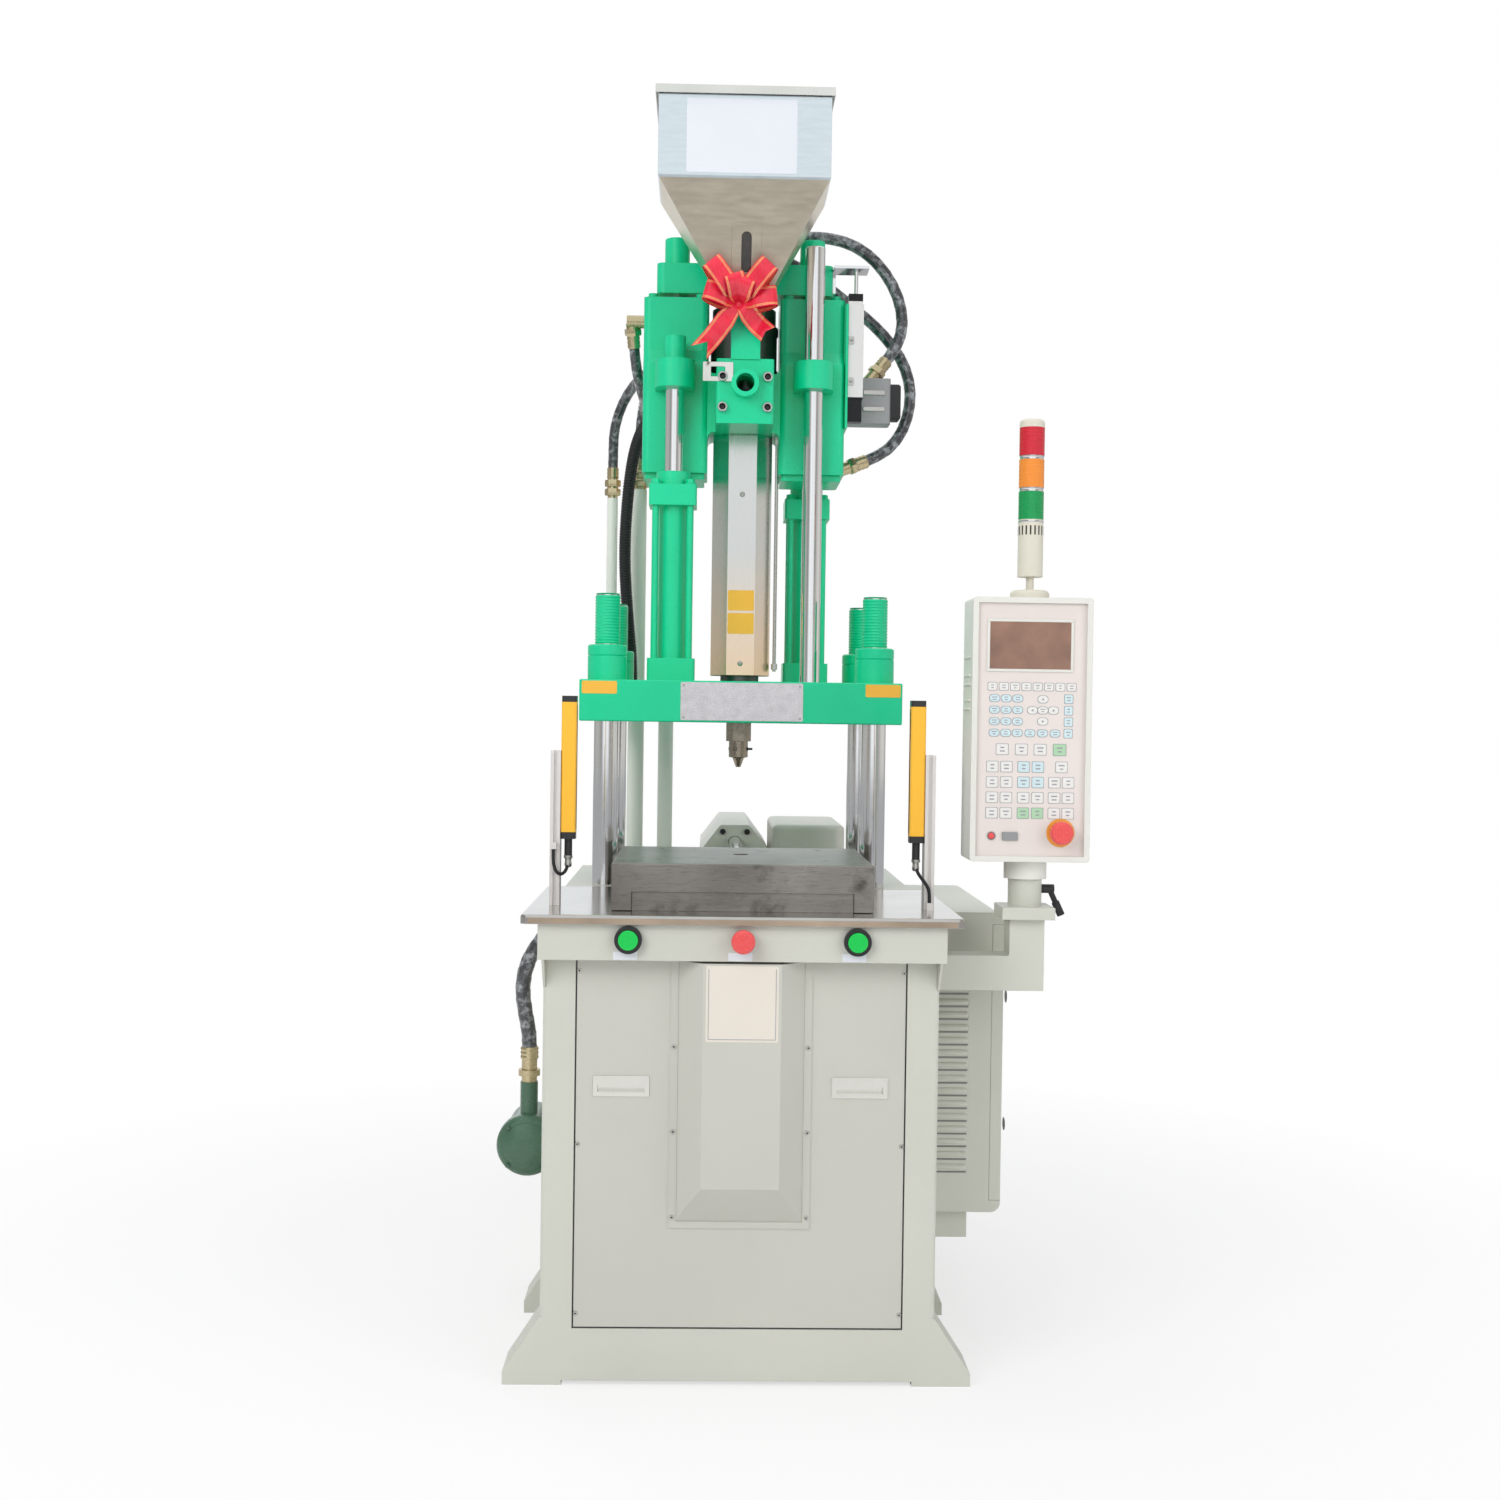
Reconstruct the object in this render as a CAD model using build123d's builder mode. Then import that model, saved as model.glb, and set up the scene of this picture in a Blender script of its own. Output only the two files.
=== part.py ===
from build123d import *
import os
from math import cos, radians, sin, tan

os.makedirs("parts", exist_ok=True)

# Vertical injection moulding machine with a sliding table, in millimetres.
# X runs to the operator's right, Y to the rear and Z up. The origin is on the floor,
# in the middle of the four anchor holes and under the injection axis.

# Clearances
fit_gap = 0.1
running_gap = 0.4
seat_gap = 0.3
overrun = 2.0

# Welded base
base_width = 684.0
base_depth = 1366.0
base_bottom = 8.0
post_width = 56.0
base_wall = 6.0
bottom_rail_top = 98.0
opening_top = 738.0
frame_top = 802.0
tank_step = 14.0
deck_front = -211.0
deck_rear = 291.0
base_corner = 8.0
foot_reach = 63.0
foot_height = 118.0
foot_toe = 22.0
foot_inset = 39.0
foot_depth = 100.0
middle_foot_rear = -207.0
anchor_x = 375.0
anchor_y = 633.0
anchor_radius = 9.0
anchor_depth = 40.0

# Front panel, its hood and its flush handles
panel_thickness = 4.0
panel_recess = 6.0
panel_lip = 16.0
panel_gap = 0.5
hood_width = 220.0
hood_front_width = 134.0
hood_bottom = 285.0
hood_front_bottom = 351.0
hood_top = 736.0
hood_depth = 43.0
hood_sheet = 2.0
hood_flange = 12.0
handle_x = 206.0
handle_z = 518.0
handle_width = 97.0
handle_height = 36.0
handle_rim = 6.0
handle_pocket = 18.0
handle_wall = 1.5

# Work table and the button box under its front edge
table_width = 756.0
table_thickness = 16.0
table_front = -734.0
table_corner = 12.0
table_edge = 5.0
box_width = 698.0
box_front = -722.0
box_bottom = 740.0
box_sheet = 2.0
gusset_drop = 52.0
gusset_thickness = 4.0
button_x = 195.0
button_z = 776.0
bezel_radius = 23.5
bezel_depth = 12.0
button_radius = 17.0
button_proud = 5.0
button_stem = 14.0
stop_head_radius = 20.5
stop_head_depth = 14.0
stop_travel_room = 8.0
stop_stem_radius = 10.0
stop_collar_radius = 15.0
stop_collar_depth = 7.0

# Sliding table and its cylinder
bed_width = 386.0
bed_front = -655.0
bed_rear = 215.0
bed_height = 33.0
slide_width = 456.0
slide_front = -660.0
slide_rear = -250.0
slide_thickness = 50.0
slide_skirt_gap = 1.0
slide_corner = 4.0
locating_radius = 15.0
locating_y = -430.0
mould_bolt_x = 150.0
mould_bolt_y = 130.0
mould_bolt_radius = 6.0
mould_bolt_depth = 28.0
rod_rise = 22.0
slide_rod_radius = 14.0
slide_rod_socket = 20.0
slide_piston_radius = 20.0
slide_piston_length = 30.0
slide_piston_rear = 362.0
housing_front = 300.0
housing_rear = 870.0
housing_half = 80.0
housing_side = 62.0
housing_top_half = 33.0
housing_ridge = 62.0
housing_wall = 18.0
motor_cover_left = 85.0
motor_cover_right = 250.0
motor_cover_rear = 680.0
motor_cover_height = 126.0
motor_cover_corner = 24.0

# Clamp: tie bars, platen, crosshead and cylinder
bar_x = 267.0
bar_y = 175.0
bar_radius = 25.0
bar_neck_radius = 24.0
bar_stand = 171.0
nut_radius = 39.0
nut_height = 70.0
nut_groove_height = 48.0
nut_groove = 1.5
lower_nut_height = 40.0
platen_width = 636.0
platen_depth = 470.0
platen_bottom = 1145.0
platen_thickness = 82.0
platen_edge = 4.0
platen_bore = 46.0
crosshead_width = 620.0
crosshead_depth = 430.0
crosshead_bottom = 340.0
crosshead_thickness = 60.0
clamp_cylinder_radius = 90.0
clamp_flange_radius = 125.0
clamp_flange_thickness = 28.0
clamp_cylinder_length = 282.0
ram_radius = 60.0
ram_length = 360.0

# Seat cylinders and guide bars
seat_x = 141.0
seat_y = 110.0
seat_block = 96.0
seat_block_corner = 6.0
seat_foot_height = 46.0
seat_tube_length = 307.0
seat_head_height = 42.0
seat_tube_radius = 29.0
seat_bore_radius = 23.0
seat_tie_spacing = 70.0
seat_tie_radius = 6.5
seat_gland_radius = 35.0
seat_gland_height = 28.0
seat_rod_radius = 19.0
seat_piston_gap = 27.0
seat_piston_height = 30.0
guide_radius = 20.0
guide_socket = 30.0
guide_stand = 883.0

# Injection base casting
block_inner = 73.0
block_outer = 207.0
block_lift = 5.0
block_height = 360.0
block_depth = 140.0
block_bulge = 12.0
bulge_height = 225.0
bulge_rise = 26.0
block_corner = 14.0
web_lift = 85.0
web_height = 120.0
web_fillet = 12.0
web_depth = 150.0
ear_radius = 40.0
ear_lift = 165.0
ear_height = 57.0
cap_radius = 22.0
cap_height = 48.0
injection_bore = 44.0
injection_bore_end = 25.0
injection_rod_radius = 23.5
piston_lift = 35.0
piston_height = 36.0
cover_height = 12.0
cover_corner = 10.0
gland_radius = 38.0
gland_height = 7.0
side_plate_thickness = 5.0
side_plate_lift = 96.0
side_plate_height = 254.0
side_plate_front = -85.0
side_plate_rear = 60.0

# Barrel, nozzle, cover and screw
barrel_radius = 40.0
barrel_bore = 16.0
barrel_drop = 590.0
heater_radius = 47.0
heater_height = 78.0
heater_count = 4
heater_lift = 112.0
heater_pitch = 112.0
nozzle_hex_height = 44.0
nozzle_body_height = 33.0
nozzle_cone_height = 21.0
nozzle_tip_radius = 5.0
nozzle_body_radius = 20.0
nozzle_neck_radius = 12.0
nozzle_hex_radius = 26.0
nozzle_bore = 4.0
barrel_cover_half = 61.0
barrel_cover_cut = 32.0
barrel_cover_length = 497.0
barrel_cover_sheet = 1.5
screw_radius = 15.5
screw_root_radius = 11.0
screw_tip_lift = 22.0
screw_tip_height = 24.0
screw_flight_pitch = 32.0
screw_flight_width = 6.0
screw_flight_rise = 60.0
screw_shaft_radius = 14.0

# Feed block, column, hopper and lid
feed_half = 57.0
feed_front = -200.0
feed_drop = 2.0
feed_height = 128.0
feed_boss_radius = 27.5
feed_boss_front = -225.0
feed_boss_rise = 77.0
feed_port_radius = 18.0
column_half = 29.0
column_y = -175.0
column_height = 90.0
outlet_flange_half = 38.0
outlet_flange_height = 6.0
outlet_half = 30.0
hopper_x = -8.0
hopper_half_width = 168.0
hopper_half_depth = 98.0
funnel_height = 242.0
hopper_wall = 170.0
hopper_sheet = 2.0
lid_overhang = 6.0
lid_rim = 14.0
lid_pin_radius = 3.5
lid_pin_half = 62.0
lid_pin_drop = 8.0
lid_pin_stand = 9.0
lid_lug_inner = 44.0
lid_lug_outer = 56.0
lid_lug_radius = 7.0
lid_knuckle_half = 40.0
lid_knuckle_radius = 6.0
window_width = 58.0
window_bottom_share = 0.22
window_length = 108.0
window_thickness = 3.0
window_slot_width = 20.0
window_slot_length = 78.0

# Injection crosshead, drive motor and position sensor
beam_half = 182.0
beam_depth = 100.0
beam_lift = 13.0
beam_height = 62.0
beam_corner = 16.0
rod_nut_radius = 26.0
rod_nut_height = 59.0
motor_flange = 120.0
motor_flange_height = 18.0
motor_radius = 50.0
motor_height = 74.0
motor_cap_radius = 40.0
motor_cap_height = 10.0
port_radius = 14.0
port_reach = 66.0
port_turn = 35.0
sensor_left = 213.0
sensor_right = 244.0
sensor_front = -75.0
sensor_rear = -45.0
sensor_lift = 62.0
sensor_length = 193.0
sensor_cap_height = 22.0
sensor_foot_height = 47.0
sensor_rod_radius = 4.0
sensor_rod_length = 249.0
sensor_rod_drop = 11.0
bracket_right = 254.0
bracket_thickness = 6.0
bracket_drop = 42.0
connector_right = 307.0
connector_front = -20.0
connector_rear = 35.0
connector_lift = 21.0
connector_height = 94.0
connector_corner = 6.0

# Rear pipes and hoses
pipe_y = 318.0
pipe_x = (-287.0, -228.0, -160.0)
pipe_radii = (12.0, 18.5, 17.0)
pipe_heights = (860.0, 880.0, 852.0)
union_height = 44.0
fitting_share = 0.95
hose_radius = 11.5
pressure_hose_radius = 12.5
conduit_radius = 13.5
suction_hose_radius = 15.0
cable_radius = 3.0
stub_length = 30.0
nut_collar = 12.0
pipe_flange = 6.0
union_step = 1.2
bend_share = 0.45
clip_half = 5.7
clip_height = 11.4
clip_stand = 9.0
clip_shift = 2.0
left_clip_rise = 101.0
right_clip_height = 13.0
conduit_lug_half = 18.0
conduit_lug_x = -236.0
conduit_lug_reach = 35.0
conduit_lug_height = 30.0
conduit_lug_drop = 22.0

# Control panel on its swivel post
controller_left = 399.0
controller_right = 611.0
controller_front = -620.0
controller_rear = -510.0
controller_bottom = 908.0
controller_height = 466.0
controller_rim = 10.0
controller_recess = 6.0
controller_corner = 6.0
controller_wall = 3.0
face_thickness = 3.0
screen_left = 430.0
screen_right = 573.0
screen_lift = 340.0
screen_height = 83.0
screen_thickness = 2.0
panel_stop_x = 559.0
panel_stop_lift = 52.0
panel_stop_ring_radius = 25.0
panel_stop_ring_depth = 5.0
swivel_x = 508.0
swivel_y = -560.0
collar_radius = 38.0
collar_height = 33.0
post_radius = 30.0
pivot_radius = 16.0
pivot_length = 24.0
arm_size = 62.0
arm_bottom = 676.0
riser_height = 66.0
arm_corner = 4.0
arm_flange = 94.0
arm_flange_height = 22.0
lever_lift = 30.0
lever_hub_radius = 8.0
lever_hub_length = 22.0
lever_arm_length = 52.0
lever_arm_radius = 5.0
lever_grip_radius = 7.0
lever_lean = 25.0

# Signal tower
tower_flange_radius = 35.0
tower_flange_height = 16.0
tower_stem_radius = 7.0
tower_stem_height = 24.0
tower_radius = 22.5
tower_body_height = 102.0
tower_lens_height = 50.0
tower_ring_height = 7.0
tower_ring_radius = 20.0
tower_cap_height = 15.0

# Electrical cabinet
cabinet_right = 491.0
cabinet_front = -450.0
cabinet_rear = 95.0
cabinet_bottom = 241.0
cabinet_height = 559.0
cabinet_sheet = 3.0
cabinet_lip = 22.0
cabinet_corner = 18.0
door_depth = 21.0
door_gap = 0.5
louvre_count = 15
louvre_right = 428.0
louvre_length = 74.0
louvre_lift = 78.0
louvre_pitch = 23.7
louvre_height = 10.0
louvre_reach = 5.0
hinge_radius = 5.0
hinge_offset = 4.0
hinge_length = 50.0
hinge_inset = 90.0
hinge_notch = 3.0
cabinet_bracket_right = 432.0
cabinet_bracket_height = 53.0

# Light curtains on their posts
curtain_post_inner = 324.0
curtain_post_outer = 342.0
curtain_post_depth = 36.0
curtain_y = -565.0
curtain_post_height = 275.0
post_slot = 6.0
post_slot_depth = 4.0
curtain_inner = 297.0
curtain_depth = 32.0
curtain_lift = 118.0
curtain_height = 254.0
curtain_cap = 12.0
curtain_corner = 4.0
curtain_plug_radius = 7.0
curtain_plug_length = 30.0

# Suction filter on the left wall
filter_x = -404.0
filter_z = 320.0
filter_front = -300.0
filter_radius = 60.0
filter_cap_depth = 34.0
filter_body_radius = 52.0
filter_length = 170.0
filter_neck_radius = 24.0
filter_neck_y = -215.0
filter_port_y = -262.0
filter_port_radius = 17.0
filter_port_height = 120.0
filter_fitting_height = 44.0

# Ribbon bow
bow_x = -15.0
bow_rise = 10.0
bow_reach = 108.0
bow_loop_depth = 11.0
bow_ribbon = 42.0
bow_ribbon_thickness = 2.0
bow_root = 5.0
bow_tail_width = 30.0
bow_knot_radius = 13.0
bow_left_tail = 122.0
bow_right_tail = 80.0

# Places worked out from the sizes above
base_half = base_width / 2
base_front = -base_depth / 2
panel_back = base_front + panel_recess
panel_front = panel_back - panel_thickness
opening_half = base_half - post_width
panel_half = opening_half - panel_gap
hood_front = panel_front - hood_depth
platen_half = platen_width / 2
table_half = table_width / 2
bed_half = bed_width / 2
slide_half = slide_width / 2
tank_top = frame_top - tank_step
deck_top = frame_top + table_thickness
bed_top = deck_top + bed_height
slide_top = bed_top + slide_thickness
slide_foot = deck_top + slide_skirt_gap
rod_z = bed_top + rod_rise
housing_shoulder = tank_top + housing_side
housing_top = housing_shoulder + housing_ridge
motor_cover_top = tank_top + motor_cover_height
platen_top = platen_bottom + platen_thickness
bar_top = platen_top + bar_stand
bar_bottom = crosshead_bottom - lower_nut_height
crosshead_top = crosshead_bottom + crosshead_thickness
clamp_cylinder_bottom = frame_top - clamp_cylinder_length
ram_top = crosshead_top + ram_length
seat_foot_top = platen_top + seat_foot_height
seat_head_bottom = seat_foot_top + seat_tube_length
seat_head_top = seat_head_bottom + seat_head_height
seat_gland_top = seat_head_top + seat_gland_height
seat_piston_bottom = seat_foot_top + seat_piston_gap
guide_top = platen_top + guide_stand
block_bottom = seat_gland_top + block_lift
block_top = block_bottom + block_height
bulge_top = block_bottom + bulge_height
web_bottom = block_bottom + web_lift
web_top = web_bottom + web_height
ear_bottom = block_bottom + ear_lift
ear_top = ear_bottom + ear_height
cap_top = ear_top + cap_height
injection_bore_top = block_top - injection_bore_end
piston_bottom = block_bottom + piston_lift
side_plate_bottom = block_bottom + side_plate_lift
side_plate_top = side_plate_bottom + side_plate_height
barrel_bottom = web_bottom - barrel_drop
heater_first = barrel_bottom + heater_lift
nozzle_body_top = barrel_bottom - nozzle_hex_height
nozzle_cone_top = nozzle_body_top - nozzle_body_height
nozzle_tip = nozzle_cone_top - nozzle_cone_height
barrel_cover_bottom = web_bottom - barrel_cover_length
screw_tip = barrel_bottom + screw_tip_lift
screw_flight_top = web_bottom + screw_flight_rise
feed_bottom = web_bottom - feed_drop
feed_top = feed_bottom + feed_height
feed_boss_z = feed_bottom + feed_boss_rise
column_top = feed_top + column_height
hopper_bottom = column_top + outlet_flange_height
hopper_shoulder = hopper_bottom + funnel_height
hopper_top = hopper_shoulder + hopper_wall
beam_bottom = block_top + beam_lift
beam_top = beam_bottom + beam_height
rod_nut_top = beam_top + rod_nut_height
motor_top = beam_top + motor_flange_height + motor_height
sensor_bottom = side_plate_bottom + sensor_lift
sensor_top = sensor_bottom + sensor_length
sensor_cap_top = sensor_top + sensor_cap_height
sensor_cap_bottom = sensor_bottom - sensor_foot_height
sensor_rod_top = beam_top - sensor_rod_drop
sensor_rod_bottom = sensor_rod_top - sensor_rod_length
connector_bottom = side_plate_bottom + connector_lift
connector_top = connector_bottom + connector_height
controller_top = controller_bottom + controller_height
screen_bottom = controller_bottom + screen_lift
screen_top = screen_bottom + screen_height
panel_stop_z = controller_bottom + panel_stop_lift
arm_top = arm_bottom + arm_size
riser_top = arm_top + riser_height
arm_flange_top = riser_top + arm_flange_height
lever_z = arm_flange_top + lever_lift
collar_bottom = controller_bottom - collar_height
tower_stem_top = controller_top + tower_flange_height + tower_stem_height
tower_body_top = tower_stem_top + tower_body_height
cabinet_top = cabinet_bottom + cabinet_height
louvre_bottom = cabinet_bottom + louvre_lift
cabinet_bracket_bottom = cabinet_bottom - cabinet_bracket_height
curtain_post_top = deck_top + curtain_post_height
curtain_bottom = deck_top + curtain_lift
curtain_top = curtain_bottom + curtain_height
filter_port_top = filter_z + filter_port_height
filter_fitting_top = filter_port_top + filter_fitting_height
block_x = (block_inner + block_outer) / 2
block_width = block_outer - block_inner
block_half_depth = block_depth / 2
web_half_depth = web_depth / 2
sensor_x = (sensor_left + sensor_right) / 2
sensor_y = (sensor_front + sensor_rear) / 2
hopper_back = column_y + hopper_half_depth
lid_rim_bottom = hopper_top - lid_rim
lid_pin_y = hopper_back + lid_pin_stand
lid_pin_z = lid_rim_bottom - lid_pin_drop
seat_places = ((-seat_x, -seat_y), (seat_x, seat_y))
guide_places = ((seat_x, -seat_y), (-seat_x, seat_y))
door_inner = cabinet_right - door_depth
door_bottom = cabinet_bottom + cabinet_lip
door_top = cabinet_top - cabinet_lip
door_rear = cabinet_rear - cabinet_sheet - door_gap
hinge_axis_x = cabinet_right + hinge_offset
hinge_bottoms = (door_bottom + hinge_inset, door_top - hinge_inset - hinge_length)
face_front = controller_front + controller_recess
bow_y = column_y - outlet_flange_half
bow_z = column_top + bow_rise

# Hose routes, each a list of places from its first fitting to its last
thin_riser_points = [
    (-287, 318, 1692),
    (-287, 318, 1747),
    (-285, 307, 1802),
    (-269, 286, 1850),
    (-244, 254, 1887),
    (-216, 211, 1907),
    (-192, 161, 1911),
    (-177, 108, 1908),
]
return_riser_points = [
    (-228, 318, 1712),
    (-228, 318, 1760),
    (-225, 296, 1808),
    (-219, 254, 1838),
    (-214, 202, 1848),
    (-215, 150, 1853),
    (-222, 102, 1871),
    (-229, 68, 1908),
    (-233, 52, 1956),
]
feed_riser_points = [
    (-160, 318, 1684),
    (-160, 318, 1714),
    (-157, 309, 1742),
    (-152, 292, 1767),
    (-146, 269, 1784),
    (-138, 241, 1794),
    (-126, 201, 1792),
    (-112, 153, 1781),
    (-98, 104, 1768),
]
conduit_points = [
    (-236, 252, 1205),
    (-236, 252, 1273),
    (-243, 254, 1341),
    (-249, 254, 1409),
    (-254, 254, 1477),
    (-255, 254, 1545),
    (-252, 254, 1613),
    (-246, 244, 1680),
    (-235, 219, 1742),
    (-216, 169, 1783),
    (-195, 106, 1796),
]
upper_motor_hose_points = [
    (66.4, 16, 2164),
    (120, 16, 2164),
    (174, 18, 2165),
    (227, 23, 2153),
    (272, 29, 2125),
    (307, 35, 2084),
    (330, 39, 2036),
    (336, 35, 1982),
    (319, 24, 1933),
    (286, 10, 1892),
]
lower_motor_hose_points = [
    (54.4, 38.1, 2124),
    (96, 67, 2124),
    (142, 90, 2105),
    (190, 98, 2073),
    (238, 100, 2036),
    (283, 98, 1999),
    (320, 94, 1958),
    (348, 88, 1911),
    (360, 81, 1858),
    (354, 73, 1804),
    (333, 66, 1754),
    (295, 58, 1716),
    (244, 50, 1696),
]
suction_points = [
    (-404, -262, 484),
    (-404, -262, 529),
    (-413, -265, 574),
    (-419, -269, 619),
    (-413, -274, 664),
    (-394, -279, 704),
    (-366, -283, 740),
]
left_cable_points = [
    (-310.5, -565, 906),
    (-310.5, -565, 892),
    (-313, -575, 880),
    (-320, -586, 873),
    (-329, -592, 877),
    (-334, -592, 890),
    (-335, -592, 904),
    (-335, -592, 919),
]
right_cable_points = [
    (310.5, -565, 906),
    (310.5, -565, 892),
    (314, -576, 881),
    (321, -588, 871),
    (330, -592, 859),
    (333, -592, 845),
    (333, -592, 831),
]


def block(x, y, z, mode=Mode.ADD):
    """A box between three pairs of bounds."""
    with Locations(((x[0] + x[1]) / 2, (y[0] + y[1]) / 2, (z[0] + z[1]) / 2)):
        Box(x[1] - x[0], y[1] - y[0], z[1] - z[0], mode=mode)


def upright(x, y, z, radius, mode=Mode.ADD):
    """A vertical cylinder between two heights."""
    with Locations((x, y, (z[0] + z[1]) / 2)):
        Cylinder(radius, z[1] - z[0], mode=mode)


def along_x(x, y, z, radius, mode=Mode.ADD):
    """A cylinder along X between two places."""
    with Locations(Location(((x[0] + x[1]) / 2, y, z), (0, 90, 0))):
        Cylinder(radius, x[1] - x[0], mode=mode)


def along_y(x, y, z, radius, mode=Mode.ADD):
    """A cylinder along Y between two places."""
    with Locations(Location((x, (y[0] + y[1]) / 2, z), (90, 0, 0))):
        Cylinder(radius, y[1] - y[0], mode=mode)


def rounded_block(x, y, z, corner, mode=Mode.ADD):
    """A box between three pairs of bounds with rounded upright edges."""
    with BuildSketch(Plane.XY.offset(z[0])) as outline:
        with Locations(((x[0] + x[1]) / 2, (y[0] + y[1]) / 2)):
            RectangleRounded(x[1] - x[0], y[1] - y[0], corner)
    extrude(outline.sketch, amount=z[1] - z[0], mode=mode)


def bend_radii(points):
    """The largest arc that each corner of a hose route leaves room for."""
    radii = []
    for before, corner, after in zip(points, points[1:], points[2:]):
        run_in = Vector(*corner) - Vector(*before)
        run_out = Vector(*after) - Vector(*corner)
        turn = radians(run_in.get_angle(run_out))
        radii.append(bend_share * min(run_in.length, run_out.length) / tan(turn / 2))
    return radii


def hose(name, points, radius):
    """A round hose or cable along straight runs and tangent arcs."""
    radii = bend_radii(points)
    with BuildLine() as route:
        FilletPolyline(*points, radius=radii)
    line = route.wire()
    with BuildSketch(Plane(origin=line @ 0, z_dir=line % 0)) as section:
        Circle(radius)
    sweep(section.sketch, path=line)
    tightest = min(radii) / (2 * radius)
    rounded = [round(r) for r in radii]
    print(f"{name}: length {line.length:.0f} mm, radii {rounded}, {tightest:.1f} diameters")


# Base frame: a welded box with a press bay, a rear oil tank, a deck and six splayed feet
with BuildPart() as base_frame:
    with BuildSketch(Plane.YZ):
        with BuildLine():
            Polyline(
                (base_front, base_bottom),
                (-base_front, base_bottom),
                (-base_front, tank_top),
                (deck_rear, tank_top),
                (deck_rear, deck_top),
                (deck_front, deck_top),
                (deck_front, frame_top),
                (base_front, frame_top),
                close=True,
            )
        make_face()
    extrude(amount=base_half, both=True)
    fillet(base_frame.edges().filter_by(Axis.Z).group_by(Axis.Y)[0], base_corner)
    fillet(base_frame.edges().filter_by(Axis.Z).group_by(Axis.Y)[-1], base_corner)
    bay_half = base_half - base_wall
    bay_front = base_front + post_width
    bay_rear = deck_rear - base_wall
    block((-bay_half, bay_half), (bay_front, bay_rear), (bottom_rail_top, frame_top), Mode.SUBTRACT)
    block(
        (-bay_half, bay_half),
        (base_front + base_wall, -base_front - base_wall),
        (base_bottom - overrun, bottom_rail_top - base_wall),
        Mode.SUBTRACT,
    )
    block(
        (-opening_half, opening_half),
        (base_front - overrun, panel_back),
        (bottom_rail_top, opening_top),
        Mode.SUBTRACT,
    )
    block(
        (panel_lip - opening_half, opening_half - panel_lip),
        (base_front, bay_front + overrun),
        (bottom_rail_top + panel_lip, opening_top - panel_lip),
        Mode.SUBTRACT,
    )
    for foot_rear in (base_front + foot_depth, middle_foot_rear, -base_front):
        with BuildSketch(Plane.XZ.offset(-foot_rear)):
            with BuildLine():
                Polyline(
                    (base_half - foot_inset, 0),
                    (base_half + foot_reach, 0),
                    (base_half + foot_reach, foot_toe),
                    (base_half, foot_height),
                    (base_half - foot_inset, foot_height),
                    close=True,
                )
            make_face()
            mirror(about=Plane.YZ)
        extrude(amount=foot_depth)
    with GridLocations(2 * anchor_x, 2 * anchor_y, 2, 2):
        Cylinder(
            anchor_radius,
            anchor_depth,
            align=(Align.CENTER, Align.CENTER, Align.MIN),
            mode=Mode.SUBTRACT,
        )
    with Locations((0, 0, frame_top - overrun)):
        with GridLocations(2 * bar_x, 2 * bar_y, 2, 2):
            Cylinder(
                bar_radius + running_gap,
                deck_top - frame_top + 2 * overrun,
                align=(Align.CENTER, Align.CENTER, Align.MIN),
                mode=Mode.SUBTRACT,
            )
base_frame.part.label = "base_frame"
export_step(base_frame.part, "parts/base_frame.step")

# Front panel: a flat sheet with cut-outs for the hood and the two flush handles
with BuildPart() as front_panel:
    block(
        (-panel_half, panel_half),
        (panel_front, panel_back),
        (bottom_rail_top + panel_gap, opening_top - panel_gap),
    )
    block(
        (hood_flange - hood_width / 2, hood_width / 2 - hood_flange),
        (panel_front - overrun, panel_back + overrun),
        (hood_bottom + hood_flange, hood_top - 2 * hood_flange),
        Mode.SUBTRACT,
    )
    for side in (-1, 1):
        block(
            (
                side * handle_x - handle_width / 2 + handle_rim,
                side * handle_x + handle_width / 2 - handle_rim,
            ),
            (panel_front - overrun, panel_back + overrun),
            (handle_z - handle_height / 2 + handle_rim, handle_z + handle_height / 2 - handle_rim),
            Mode.SUBTRACT,
        )
front_panel.part.label = "front_panel"
export_step(front_panel.part, "parts/front_panel.step")

# Hood: a folded bump with splayed sides, a sloping underside and a screw flange
with BuildPart() as panel_hood:
    with BuildSketch(Plane.XZ.offset(-panel_front)):
        with Locations((0, (hood_bottom + hood_top) / 2)):
            Rectangle(hood_width, hood_top - hood_bottom)
    with BuildSketch(Plane.XZ.offset(-hood_front)):
        with Locations((0, (hood_front_bottom + hood_top) / 2)):
            Rectangle(hood_front_width, hood_top - hood_front_bottom)
    loft()
    offset(amount=-hood_sheet, openings=panel_hood.faces().sort_by(Axis.Y)[-1])
    with BuildSketch(Plane.XZ.offset(-panel_front)):
        flange_half = hood_width / 2 + hood_flange
        flange_bottom = hood_bottom - hood_flange
        with Locations((0, (flange_bottom + hood_top) / 2)):
            Rectangle(2 * flange_half, hood_top - flange_bottom)
        with Locations((0, (hood_bottom + hood_top) / 2)):
            Rectangle(hood_width - hood_sheet, hood_top - hood_bottom + overrun, mode=Mode.SUBTRACT)
    extrude(amount=hood_sheet)
panel_hood.part.label = "panel_hood"
export_step(panel_hood.part, "parts/panel_hood.step")

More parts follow.
